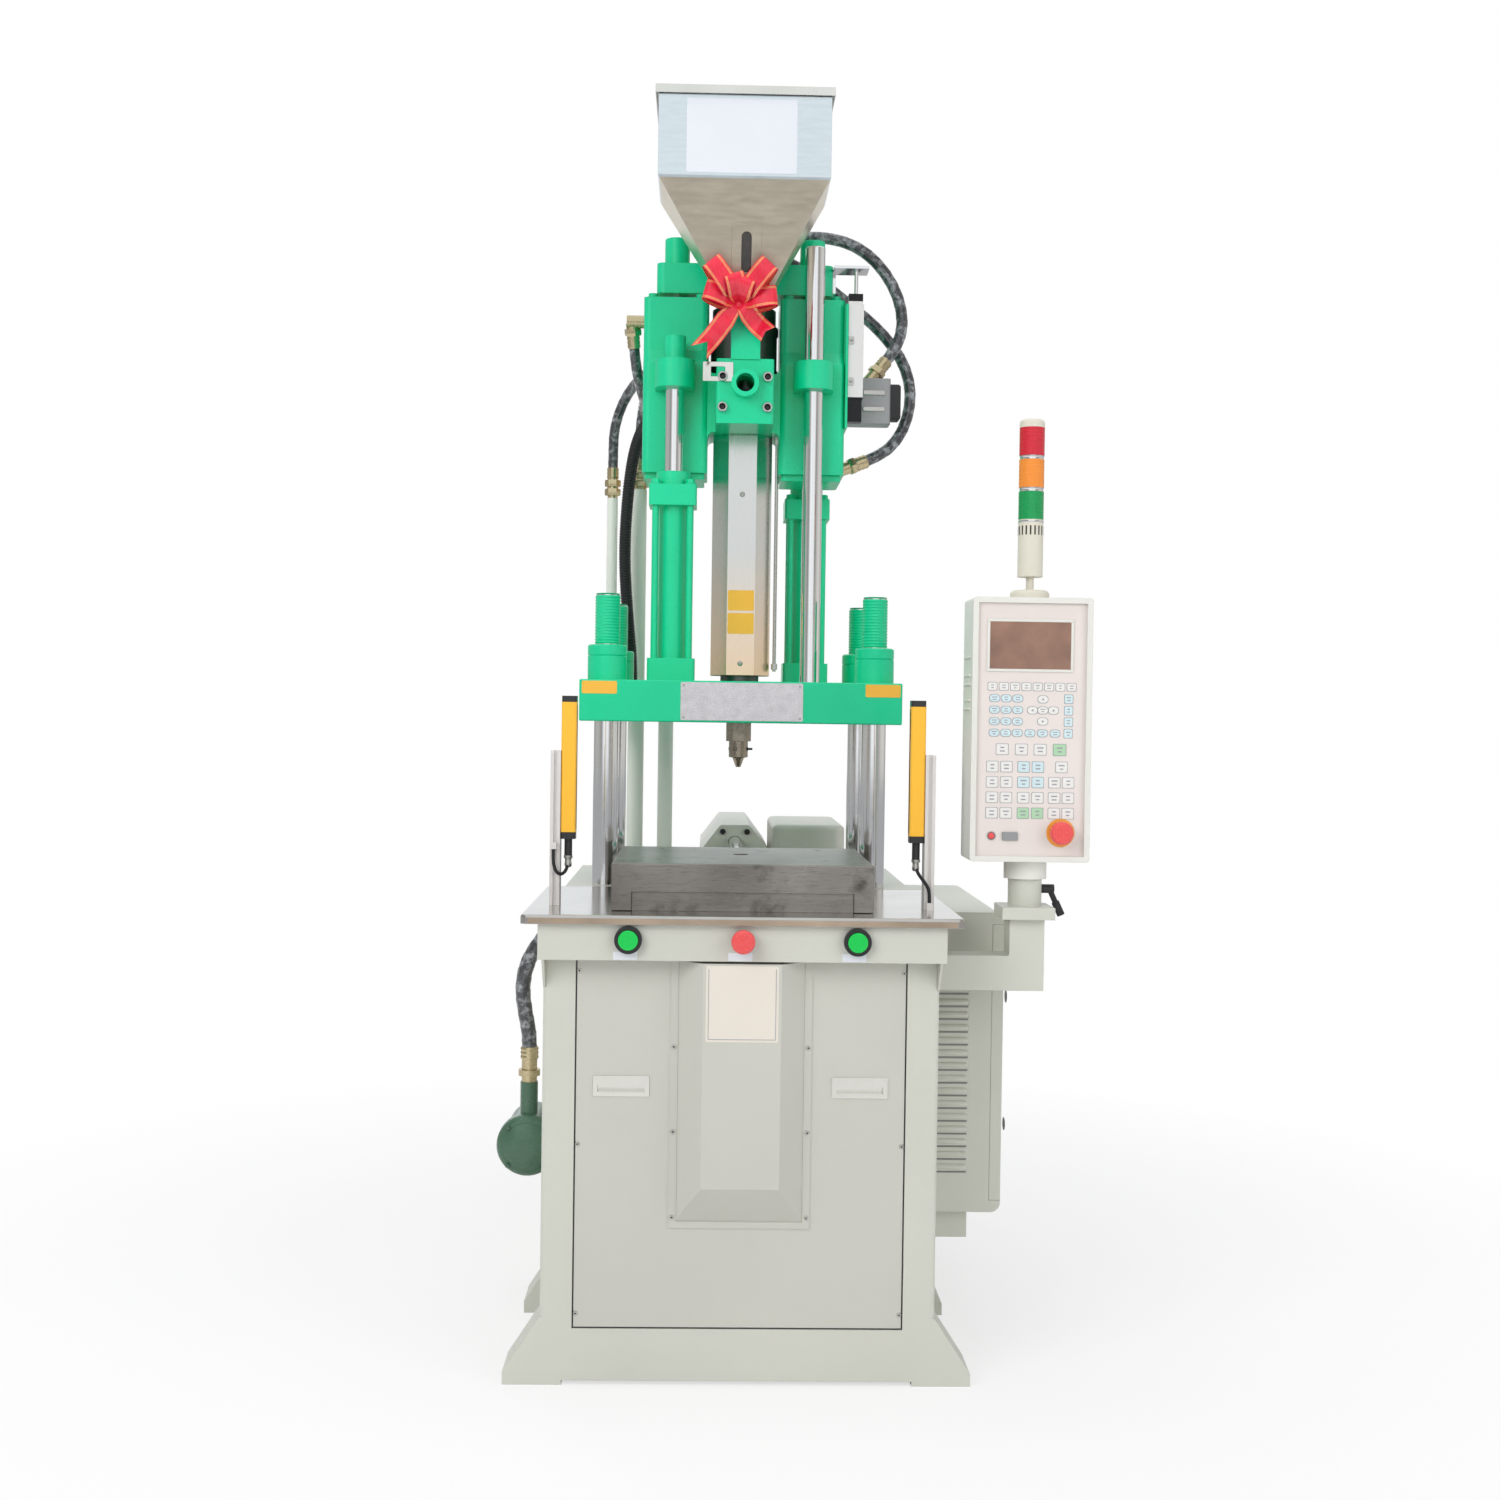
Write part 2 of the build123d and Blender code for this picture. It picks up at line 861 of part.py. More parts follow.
# Flush pull handles: a rimmed pocket let into the front panel on each side
with BuildPart() as panel_handles:
    for side in (-1, 1):
        left = side * handle_x - handle_width / 2
        right = side * handle_x + handle_width / 2
        low = handle_z - handle_height / 2
        high = handle_z + handle_height / 2
        block((left, right), (panel_front - handle_wall, panel_front), (low, high))
        tray = handle_rim + fit_gap
        block(
            (left + tray, right - tray),
            (panel_front, panel_front + handle_pocket),
            (low + tray, high - tray),
        )
        hollow = tray + handle_wall
        block(
            (left + hollow, right - hollow),
            (panel_front - handle_wall - overrun, panel_front + handle_pocket - handle_wall),
            (low + hollow, high - hollow),
            Mode.SUBTRACT,
        )
        block(
            (left + hollow - overrun / 2, right - hollow + overrun / 2),
            (panel_front - handle_wall, panel_front),
            (handle_z + handle_wall, high - hollow + overrun / 2),
        )
panel_handles.part.label = "panel_handles"
export_step(panel_handles.part, "parts/panel_handles.step")

# Work table: a stainless plate with rounded corners and a softened upper edge
with BuildPart() as work_table:
    rounded_block(
        (-table_half, table_half), (table_front, deck_front), (frame_top, deck_top), table_corner
    )
    fillet(work_table.faces().sort_by(Axis.Z)[-1].edges(), table_edge)
work_table.part.label = "work_table"
export_step(work_table.part, "parts/work_table.step")

# Button box: a folded channel below the table edge, with a gusset under each end
with BuildPart() as button_box:
    box_half = box_width / 2
    block((-box_half, box_half), (box_front, base_front), (box_bottom, frame_top))
    block(
        (box_sheet - box_half, box_half - box_sheet),
        (box_front + box_sheet, base_front + overrun),
        (box_bottom + box_sheet, frame_top - box_sheet),
        Mode.SUBTRACT,
    )
    for gusset_left in (-base_half, base_half - gusset_thickness):
        with BuildSketch(Plane.YZ.offset(gusset_left)):
            with BuildLine():
                Polyline(
                    (box_front, box_bottom),
                    (base_front, box_bottom),
                    (base_front, box_bottom - gusset_drop),
                    close=True,
                )
            make_face()
        extrude(amount=gusset_thickness)
    for side in (-1, 1):
        along_y(
            side * button_x,
            (box_front - overrun, box_front + box_sheet + overrun),
            button_z,
            button_radius + running_gap,
            Mode.SUBTRACT,
        )
    along_y(
        0,
        (box_front - overrun, box_front + box_sheet + overrun),
        button_z,
        stop_stem_radius + running_gap,
        Mode.SUBTRACT,
    )
button_box.part.label = "button_box"
export_step(button_box.part, "parts/button_box.step")

# Button bezels: two collars round the start buttons and one behind the stop button
with BuildPart() as button_bezels:
    for side in (-1, 1):
        along_y(side * button_x, (box_front - bezel_depth, box_front), button_z, bezel_radius)
        along_y(
            side * button_x,
            (box_front - bezel_depth - overrun, box_front + overrun),
            button_z,
            button_radius + running_gap,
            Mode.SUBTRACT,
        )
    along_y(0, (box_front - stop_collar_depth, box_front), button_z, stop_collar_radius)
    along_y(
        0,
        (box_front - stop_collar_depth - overrun, box_front + overrun),
        button_z,
        stop_stem_radius + running_gap,
        Mode.SUBTRACT,
    )
    fillet(button_bezels.edges().filter_by(GeomType.CIRCLE).group_by(Axis.Y)[0], seat_gap)
button_bezels.part.label = "button_bezels"
export_step(button_bezels.part, "parts/button_bezels.step")

# Start buttons: one plunger under each hand
for side, name in ((-1, "start_button_left"), (1, "start_button_right")):
    with BuildPart() as start_button:
        along_y(
            side * button_x,
            (box_front - bezel_depth - button_proud, box_front + button_stem),
            button_z,
            button_radius,
        )
        fillet(start_button.edges().group_by(Axis.Y)[0], overrun)
    start_button.part.label = name
    export_step(start_button.part, f"parts/{name}.step")

# Front stop button: a mushroom head on a stem
with BuildPart() as front_stop_button:
    head_back = box_front - stop_collar_depth - stop_travel_room
    along_y(0, (head_back - stop_head_depth, head_back), button_z, stop_head_radius)
    fillet(front_stop_button.edges().group_by(Axis.Y)[0], stop_head_depth / 2)
    along_y(0, (head_back, box_front + button_stem), button_z, stop_stem_radius)
front_stop_button.part.label = "front_stop_button"
export_step(front_stop_button.part, "parts/front_stop_button.step")

# Slide bed: the guide way that the sliding table straddles
with BuildPart() as slide_bed:
    block((-bed_half, bed_half), (bed_front, bed_rear), (deck_top, bed_top))
    chamfer(slide_bed.faces().sort_by(Axis.Z)[-1].edges().filter_by(Axis.Y), slide_corner / 2)
slide_bed.part.label = "slide_bed"
export_step(slide_bed.part, "parts/slide_bed.step")

# Sliding table: a channel over the bed with a locating bore and four mould bolt holes
with BuildPart() as slide_plate:
    block((-slide_half, slide_half), (slide_front, slide_rear), (slide_foot, slide_top))
    channel_half = bed_half + running_gap
    block(
        (-channel_half, channel_half),
        (slide_front - overrun, slide_rear + overrun),
        (slide_foot - overrun, bed_top + seat_gap),
        Mode.SUBTRACT,
    )
    chamfer(slide_plate.faces().sort_by(Axis.Z)[-1].edges(), slide_corner / 2)
    upright(0, locating_y, (bed_top, slide_top + overrun), locating_radius, Mode.SUBTRACT)
    with Locations((0, locating_y, slide_top)):
        with GridLocations(2 * mould_bolt_x, 2 * mould_bolt_y, 2, 2):
            Hole(mould_bolt_radius, mould_bolt_depth)
    along_y(
        0,
        (slide_rear - slide_rod_socket, slide_rear + overrun),
        rod_z,
        slide_rod_radius + fit_gap,
        Mode.SUBTRACT,
    )
slide_plate.part.label = "slide_plate"
export_step(slide_plate.part, "parts/slide_plate.step")

# Slide rod: a piston rod screwed into the rear of the sliding table
with BuildPart() as slide_rod:
    along_y(0, (slide_rear - slide_rod_socket, slide_piston_rear), rod_z, slide_rod_radius)
    along_y(
        0,
        (slide_piston_rear - slide_piston_length, slide_piston_rear),
        rod_z,
        slide_piston_radius,
    )
slide_rod.part.label = "slide_rod"
export_step(slide_rod.part, "parts/slide_rod.step")

# Slide cylinder: a ridged housing on the oil tank, bored for the rod and its piston
with BuildPart() as slide_cylinder:
    with BuildSketch(Plane.XZ.offset(-housing_rear)):
        with BuildLine():
            Polyline(
                (-housing_half, tank_top),
                (housing_half, tank_top),
                (housing_half, housing_shoulder),
                (housing_top_half, housing_top),
                (-housing_top_half, housing_top),
                (-housing_half, housing_shoulder),
                close=True,
            )
        make_face()
    extrude(amount=housing_rear - housing_front)
    fillet(slide_cylinder.edges().filter_by(Axis.Y).group_by(Axis.Z)[-1], housing_wall / 2)
    along_y(
        0,
        (housing_front - overrun, housing_front + housing_wall),
        rod_z,
        slide_rod_radius + running_gap,
        Mode.SUBTRACT,
    )
    along_y(
        0,
        (housing_front + housing_wall - overrun / 2, housing_rear - housing_wall),
        rod_z,
        slide_piston_radius + running_gap,
        Mode.SUBTRACT,
    )
slide_cylinder.part.label = "slide_cylinder"
export_step(slide_cylinder.part, "parts/slide_cylinder.step")

# Motor cover: a soft-edged sheet cover over the pump motor on the oil tank
with BuildPart() as motor_cover:
    block(
        (motor_cover_left, motor_cover_right),
        (housing_front, motor_cover_rear),
        (tank_top, motor_cover_top),
    )
    fillet(motor_cover.edges().filter_by(Axis.Z), motor_cover_corner)
    fillet(motor_cover.faces().sort_by(Axis.Z)[-1].edges(), motor_cover_corner / 2)
motor_cover.part.label = "motor_cover"
export_step(motor_cover.part, "parts/motor_cover.step")

# Tie bars: four ground columns with a necked thread at each end
with BuildPart() as tie_bars:
    for x in (-bar_x, bar_x):
        for y in (-bar_y, bar_y):
            upright(x, y, (bar_bottom, bar_top), bar_neck_radius)
            upright(x, y, (crosshead_top, platen_bottom), bar_radius)
    chamfer(tie_bars.edges().filter_by(GeomType.CIRCLE).group_by(Axis.Z)[-1], overrun)
tie_bars.part.label = "tie_bars"
export_step(tie_bars.part, "parts/tie_bars.step")

# Tie bar nuts: tall round nuts in two rings above the platen, plain ones below the crosshead
with BuildPart() as tie_bar_nuts:
    for x in (-bar_x, bar_x):
        for y in (-bar_y, bar_y):
            with BuildSketch(Plane(origin=(x, y, 0), x_dir=(1, 0, 0), z_dir=(0, -1, 0))):
                neck = bar_neck_radius + fit_gap
                nut_top = platen_top + nut_height
                ring = platen_top + nut_groove_height
                with BuildLine():
                    Polyline(
                        (neck, platen_top),
                        (nut_radius, platen_top),
                        (nut_radius, ring - nut_groove),
                        (nut_radius - nut_groove, ring),
                        (nut_radius, ring + nut_groove),
                        (nut_radius, nut_top - 2 * nut_groove),
                        (nut_radius - 2 * nut_groove, nut_top),
                        (neck, nut_top),
                        close=True,
                    )
                make_face()
                with BuildLine():
                    Polyline(
                        (neck, bar_bottom),
                        (nut_radius - nut_groove, bar_bottom),
                        (nut_radius, bar_bottom + nut_groove),
                        (nut_radius, crosshead_bottom),
                        (neck, crosshead_bottom),
                        close=True,
                    )
                make_face()
            revolve(axis=Axis((x, y, 0), (0, 0, 1)))
tie_bar_nuts.part.label = "tie_bar_nuts"
export_step(tie_bar_nuts.part, "parts/tie_bar_nuts.step")

# Upper platen: a thick plate on the tie bars, bored for the barrel and the guide bars
with BuildPart() as upper_platen:
    block(
        (-platen_half, platen_half),
        (-platen_depth / 2, platen_depth / 2),
        (platen_bottom, platen_top),
    )
    chamfer(upper_platen.edges(), platen_edge / 2)
    upright(0, 0, (platen_bottom - overrun, platen_top + overrun), platen_bore, Mode.SUBTRACT)
    for x in (-bar_x, bar_x):
        for y in (-bar_y, bar_y):
            upright(
                x,
                y,
                (platen_bottom - overrun, platen_top + overrun),
                bar_neck_radius + fit_gap,
                Mode.SUBTRACT,
            )
    for x, y in guide_places:
        socket = (platen_top - guide_socket, platen_top + overrun)
        upright(x, y, socket, guide_radius + fit_gap, Mode.SUBTRACT)
    with Locations(Location((0, 0, platen_bottom), (180, 0, 0))):
        with GridLocations(2 * mould_bolt_x, 2 * mould_bolt_y, 2, 2):
            Hole(mould_bolt_radius, mould_bolt_depth)
    lug_top = platen_top - conduit_lug_drop
    block(
        (conduit_lug_x - conduit_lug_half, conduit_lug_x + conduit_lug_half),
        (platen_depth / 2 - overrun, platen_depth / 2 + conduit_lug_reach),
        (lug_top - conduit_lug_height, lug_top),
    )
upper_platen.part.label = "upper_platen"
export_step(upper_platen.part, "parts/upper_platen.step")

# Lower crosshead: the plate in the base that pulls the four tie bars down, with the clamp ram on it
with BuildPart() as lower_crosshead:
    rounded_block(
        (-crosshead_width / 2, crosshead_width / 2),
        (-crosshead_depth / 2, crosshead_depth / 2),
        (crosshead_bottom, crosshead_top),
        platen_edge,
    )
    for x in (-bar_x, bar_x):
        for y in (-bar_y, bar_y):
            upright(
                x,
                y,
                (crosshead_bottom - overrun, crosshead_top + overrun),
                bar_neck_radius + fit_gap,
                Mode.SUBTRACT,
            )
    upright(0, 0, (crosshead_top, ram_top), ram_radius)
lower_crosshead.part.label = "lower_crosshead"
export_step(lower_crosshead.part, "parts/lower_crosshead.step")

# Clamp cylinder: a flanged barrel bolted up under the deck
with BuildPart() as clamp_cylinder:
    with BuildSketch(Plane.XZ):
        with BuildLine():
            Polyline(
                (ram_radius + running_gap, clamp_cylinder_bottom),
                (clamp_cylinder_radius, clamp_cylinder_bottom),
                (clamp_cylinder_radius, frame_top - clamp_flange_thickness),
                (clamp_flange_radius, frame_top - clamp_flange_thickness),
                (clamp_flange_radius, frame_top),
                (0, frame_top),
                (0, frame_top - clamp_flange_thickness),
                (ram_radius + running_gap, frame_top - clamp_flange_thickness),
                close=True,
            )
        make_face()
    revolve(axis=Axis.Z)
clamp_cylinder.part.label = "clamp_cylinder"
export_step(clamp_cylinder.part, "parts/clamp_cylinder.step")

# Seat cylinders: a foot, a tube, four tie rods, a head and a gland on each of two cylinders
with BuildPart() as seat_cylinders:
    for x, y in seat_places:
        half = seat_block / 2
        for low, high in ((platen_top, seat_foot_top), (seat_head_bottom, seat_head_top)):
            rounded_block((x - half, x + half), (y - half, y + half), (low, high), seat_block_corner)
        upright(x, y, (seat_foot_top, seat_head_bottom), seat_tube_radius)
        with Locations((x, y, seat_foot_top)):
            with GridLocations(seat_tie_spacing, seat_tie_spacing, 2, 2):
                Cylinder(
                    seat_tie_radius,
                    seat_head_bottom - seat_foot_top,
                    align=(Align.CENTER, Align.CENTER, Align.MIN),
                )
        upright(x, y, (seat_head_top, seat_gland_top), seat_gland_radius)
        upright(x, y, (seat_foot_top, seat_head_bottom), seat_bore_radius, Mode.SUBTRACT)
        upright(
            x,
            y,
            (seat_head_bottom - overrun, seat_gland_top + overrun),
            seat_rod_radius + running_gap,
            Mode.SUBTRACT,
        )
seat_cylinders.part.label = "seat_cylinders"
export_step(seat_cylinders.part, "parts/seat_cylinders.step")

# Guide bars: two ground columns let into the platen, on the other diagonal
with BuildPart() as guide_bars:
    for x, y in guide_places:
        upright(x, y, (platen_top - guide_socket, guide_top), guide_radius)
    chamfer(guide_bars.edges().filter_by(GeomType.CIRCLE).group_by(Axis.Z)[-1], overrun)
guide_bars.part.label = "guide_bars"
export_step(guide_bars.part, "parts/guide_bars.step")

# Seat rods: piston rods that lift the injection unit
with BuildPart() as seat_rods:
    for x, y in seat_places:
        upright(x, y, (seat_piston_bottom, ear_bottom), seat_rod_radius)
        upright(
            x,
            y,
            (seat_piston_bottom, seat_piston_bottom + seat_piston_height),
            seat_bore_radius - running_gap,
        )
seat_rods.part.label = "seat_rods"
export_step(seat_rods.part, "parts/seat_rods.step")

# Injection base: one casting with two cylinder blocks, a web for the barrel and four ears
with BuildPart() as injection_base:
    for side in (-1, 1):
        with BuildSketch(Plane.YZ.offset(side * block_x)):
            with BuildLine():
                Polyline(
                    (-block_half_depth - block_bulge, block_bottom),
                    (-block_half_depth - block_bulge, bulge_top),
                    (-block_half_depth, bulge_top + bulge_rise),
                    (-block_half_depth, block_top),
                    (block_half_depth, block_top),
                    (block_half_depth, bulge_top + bulge_rise),
                    (block_half_depth + block_bulge, bulge_top),
                    (block_half_depth + block_bulge, block_bottom),
                    close=True,
                )
            make_face()
        extrude(amount=block_width / 2, both=True)
    side_faces = injection_base.faces().filter_by(Axis.X)
    fillet(side_faces.edges().filter_by(Axis.Y, reverse=True), block_corner)
    with BuildSketch(Plane.XZ):
        with Locations((0, (web_bottom + web_top) / 2)):
            Rectangle(2 * (block_inner + overrun), web_height)
        for side in (-1, 1):
            for edge, away in ((web_bottom, -1), (web_top, 1)):
                with Locations((side * (block_inner + (overrun - web_fillet) / 2), edge + away * web_fillet / 2)):
                    Rectangle(web_fillet + overrun, web_fillet)
                with Locations((side * (block_inner - web_fillet), edge + away * web_fillet)):
                    Circle(web_fillet, mode=Mode.SUBTRACT)
    extrude(amount=web_half_depth, both=True)
    for (x, y), bore in zip(seat_places + guide_places, (0, 0, 1, 1)):
        upright(x, y, (ear_bottom, ear_top), ear_radius)
        toward = block_half_depth if y > 0 else -block_half_depth
        neck_y = (min(y, toward - block_bulge), max(y, toward + block_bulge))
        block((x - ear_radius, x + ear_radius), neck_y, (ear_bottom, ear_top))
        if bore:
            upright(
                x,
                y,
                (ear_bottom - overrun, ear_top + overrun),
                guide_radius + running_gap,
                Mode.SUBTRACT,
            )
        else:
            upright(x, y, (ear_top, cap_top), cap_radius)
    upright(0, 0, (web_bottom - overrun, web_top + overrun), barrel_radius + fit_gap, Mode.SUBTRACT)
    along_y(
        0,
        (-web_half_depth - overrun, 0),
        feed_boss_z,
        feed_port_radius,
        Mode.SUBTRACT,
    )
    for side in (-1, 1):
        x = side * seat_x
        upright(x, 0, (block_bottom - overrun, injection_bore_top), injection_bore, Mode.SUBTRACT)
        upright(
            x,
            0,
            (injection_bore_top - overrun, block_top + overrun),
            injection_rod_radius + running_gap,
            Mode.SUBTRACT,
        )
    block(
        (block_outer - overrun, block_outer + side_plate_thickness),
        (side_plate_front + block_corner, side_plate_rear),
        (side_plate_bottom, side_plate_top),
    )
    block(
        (block_outer, block_outer + side_plate_thickness),
        (side_plate_front, side_plate_rear),
        (side_plate_bottom, side_plate_top),
    )
injection_base.part.label = "injection_base"
export_step(injection_base.part, "parts/injection_base.step")

# Cylinder covers: a plate that closes each injection cylinder from below and a gland ring above
with BuildPart() as cylinder_covers:
    for side in (-1, 1):
        rounded_block(
            (
                side * block_x - block_width / 2 + block_bulge / 2,
                side * block_x + block_width / 2 - block_bulge / 2,
            ),
            (-block_half_depth, block_half_depth),
            (block_bottom - cover_height, block_bottom),
            cover_corner,
        )
        upright(side * seat_x, 0, (block_top, block_top + gland_height), gland_radius)
        upright(
            side * seat_x,
            0,
            (block_top - overrun, block_top + gland_height + overrun),
            injection_rod_radius + running_gap,
            Mode.SUBTRACT,
        )
cylinder_covers.part.label = "cylinder_covers"
export_step(cylinder_covers.part, "parts/cylinder_covers.step")

# Barrel: a thick tube through the web with heater bands and a feed throat in its side
with BuildPart() as barrel:
    upright(0, 0, (barrel_bottom, web_top), barrel_radius)
    for number in range(heater_count):
        low = heater_first + number * heater_pitch
        upright(0, 0, (low, low + heater_height), heater_radius)
    upright(0, 0, (barrel_bottom - overrun, web_top + overrun), barrel_bore, Mode.SUBTRACT)
    along_y(0, (-barrel_radius - overrun, 0), feed_boss_z, barrel_bore, Mode.SUBTRACT)
barrel.part.label = "barrel"
export_step(barrel.part, "parts/barrel.step")

# Barrel cover: an eight-sided sheet sleeve hung under the web
with BuildPart() as barrel_cover:
    with BuildSketch(Plane.XY.offset(barrel_cover_bottom)) as sleeve:
        Rectangle(2 * barrel_cover_half, 2 * barrel_cover_half)
        chamfer(sleeve.vertices(), barrel_cover_cut)
        offset(amount=-barrel_cover_sheet, mode=Mode.SUBTRACT)
    extrude(amount=web_bottom - barrel_cover_bottom)
barrel_cover.part.label = "barrel_cover"
export_step(barrel_cover.part, "parts/barrel_cover.step")

# Nozzle: a hexagonal seat, a round body and a tapered tip with a melt channel
with BuildPart() as nozzle:
    with BuildSketch(Plane.XY.offset(nozzle_body_top)):
        RegularPolygon(nozzle_hex_radius, 6)
    extrude(amount=barrel_bottom - nozzle_body_top)
    with BuildSketch(Plane.XZ):
        with BuildLine():
            Polyline(
                (0, nozzle_tip),
                (nozzle_tip_radius, nozzle_tip),
                (nozzle_neck_radius, nozzle_cone_top - overrun),
                (nozzle_body_radius, nozzle_cone_top),
                (nozzle_body_radius, nozzle_body_top),
                (0, nozzle_body_top),
                close=True,
            )
        make_face()
    revolve(axis=Axis.Z)
    upright(0, 0, (nozzle_tip - overrun, barrel_bottom + overrun), nozzle_bore, Mode.SUBTRACT)
nozzle.part.label = "nozzle"
export_step(nozzle.part, "parts/nozzle.step")

# Plasticising screw: a flighted screw with a pointed tip and a plain drive shaft
with BuildPart() as plasticising_screw:
    upright(0, 0, (screw_tip + screw_tip_height, beam_bottom), screw_root_radius)
    with BuildSketch(Plane.XZ):
        with BuildLine():
            Polyline(
                (0, screw_tip),
                (screw_root_radius, screw_tip + screw_tip_height),
                (0, screw_tip + screw_tip_height),
                close=True,
            )
        make_face()
    revolve(axis=Axis.Z)
    flight_z = screw_tip + screw_tip_height
    while flight_z + screw_flight_pitch < screw_flight_top:
        upright(0, 0, (flight_z, flight_z + screw_flight_width), screw_radius)
        flight_z += screw_flight_pitch
    upright(0, 0, (web_top, beam_top), screw_shaft_radius)
plasticising_screw.part.label = "plasticising_screw"
export_step(plasticising_screw.part, "parts/plasticising_screw.step")

# Feed block: bolted to the front of the web, with a cleaning port and the feed column
with BuildPart() as feed_block:
    rounded_block(
        (-feed_half, feed_half),
        (feed_front, -web_half_depth),
        (feed_bottom, feed_top),
        seat_block_corner,
    )
    along_y(0, (feed_boss_front, feed_front + overrun), feed_boss_z, feed_boss_radius)
    block(
        (-column_half, column_half),
        (column_y - column_half, column_y + column_half),
        (feed_top - overrun, column_top),
    )
    along_y(
        0,
        (feed_boss_front - overrun, -web_half_depth + overrun),
        feed_boss_z,
        feed_port_radius,
        Mode.SUBTRACT,
    )
    upright(0, column_y, (feed_boss_z, column_top + overrun), feed_port_radius, Mode.SUBTRACT)
feed_block.part.label = "feed_block"
export_step(feed_block.part, "parts/feed_block.step")

# Hopper: a folded box on a four-sided funnel with an outlet flange, a window plate and two hinge lugs
with BuildPart() as hopper:
    with BuildSketch(Plane.XY.offset(hopper_bottom)):
        with Locations((0, column_y)):
            Rectangle(2 * outlet_half, 2 * outlet_half)
    with BuildSketch(Plane.XY.offset(hopper_shoulder)):
        with Locations((hopper_x, column_y)):
            Rectangle(2 * hopper_half_width, 2 * hopper_half_depth)
    loft()
    block(
        (hopper_x - hopper_half_width, hopper_x + hopper_half_width),
        (column_y - hopper_half_depth, hopper_back),
        (hopper_shoulder, hopper_top),
    )
    ends = hopper.faces().filter_by(Axis.Z).sort_by(Axis.Z)
    offset(amount=-hopper_sheet, openings=[ends[0], ends[-1]])
    block(
        (-outlet_flange_half, outlet_flange_half),
        (column_y - outlet_flange_half, column_y + outlet_flange_half),
        (column_top, hopper_bottom),
    )
    upright(0, column_y, (column_top - overrun, hopper_bottom + overrun), feed_port_radius, Mode.SUBTRACT)
    slope = Vector(0, outlet_half - hopper_half_depth, hopper_shoulder - hopper_bottom)
    foot = Vector(hopper_x * window_bottom_share, column_y - outlet_half, hopper_bottom)
    window_plane = Plane(
        origin=foot + slope * window_bottom_share + slope.normalized() * (window_length / 2),
        x_dir=(1, 0, 0),
        z_dir=Vector(0, -slope.Z, slope.Y),
    )
    with BuildSketch(window_plane):
        Rectangle(window_width, window_length)
        SlotOverall(window_slot_length, window_slot_width, rotation=90, mode=Mode.SUBTRACT)
    extrude(amount=window_thickness)
    for side in (-1, 1):
        lug_x = sorted((hopper_x + side * lid_lug_inner, hopper_x + side * lid_lug_outer))
        along_x(lug_x, lid_pin_y, lid_pin_z, lid_lug_radius)
        block(
            lug_x,
            (hopper_back - hopper_sheet / 2, lid_pin_y),
            (lid_pin_z - lid_lug_radius, lid_pin_z + lid_lug_radius),
        )
        along_x(
            (lug_x[0] - overrun, lug_x[1] + overrun),
            lid_pin_y,
            lid_pin_z,
            lid_pin_radius + running_gap,
            Mode.SUBTRACT,
        )
hopper.part.label = "hopper"
export_step(hopper.part, "parts/hopper.step")

# Hopper lid: a shallow folded tray over the hopper's rim, on a hinge pin behind it
with BuildPart() as hopper_lid:
    lid_half_width = hopper_half_width + lid_overhang
    lid_half_depth = hopper_half_depth + lid_overhang
    block(
        (hopper_x - lid_half_width, hopper_x + lid_half_width),
        (column_y - lid_half_depth, column_y + lid_half_depth),
        (lid_rim_bottom, hopper_top + hopper_sheet),
    )
    block(
        (hopper_x - lid_half_width + hopper_sheet, hopper_x + lid_half_width - hopper_sheet),
        (column_y - lid_half_depth + hopper_sheet, column_y + lid_half_depth - hopper_sheet),
        (lid_rim_bottom - overrun, hopper_top + seat_gap),
        Mode.SUBTRACT,
    )
    knuckle_x = (hopper_x - lid_knuckle_half, hopper_x + lid_knuckle_half)
    along_x((hopper_x - lid_pin_half, hopper_x + lid_pin_half), lid_pin_y, lid_pin_z, lid_pin_radius)
    along_x(knuckle_x, lid_pin_y, lid_pin_z, lid_knuckle_radius)
    block(
        knuckle_x,
        (column_y + lid_half_depth - hopper_sheet, lid_pin_y),
        (lid_pin_z, lid_rim_bottom + hopper_sheet),
    )
hopper_lid.part.label = "hopper_lid"
export_step(hopper_lid.part, "parts/hopper_lid.step")

# Crosshead beam: joins the two injection rods under capped nuts and carries the screw drive
with BuildPart() as crosshead_beam:
    rounded_block(
        (-beam_half, beam_half), (-beam_depth / 2, beam_depth / 2), (beam_bottom, beam_top), beam_corner
    )
    upright(
        0,
        0,
        (beam_bottom - overrun, beam_top + overrun),
        screw_shaft_radius + running_gap,
        Mode.SUBTRACT,
    )
    for side in (-1, 1):
        upright(
            side * seat_x,
            0,
            (beam_bottom - overrun, beam_top + overrun),
            injection_rod_radius + fit_gap,
            Mode.SUBTRACT,
        )
        upright(side * seat_x, 0, (beam_top, rod_nut_top), rod_nut_radius)
    fillet(crosshead_beam.edges().filter_by(GeomType.CIRCLE).group_by(Axis.Z)[-1], overrun)
crosshead_beam.part.label = "crosshead_beam"
export_step(crosshead_beam.part, "parts/crosshead_beam.step")

# Injection rods: piston rods from the two blocks up through the beam
with BuildPart() as injection_rods:
    for side in (-1, 1):
        upright(side * seat_x, 0, (piston_bottom, beam_top), injection_rod_radius)
        upright(
            side * seat_x,
            0,
            (piston_bottom, piston_bottom + piston_height),
            injection_bore - running_gap,
        )
injection_rods.part.label = "injection_rods"
export_step(injection_rods.part, "parts/injection_rods.step")

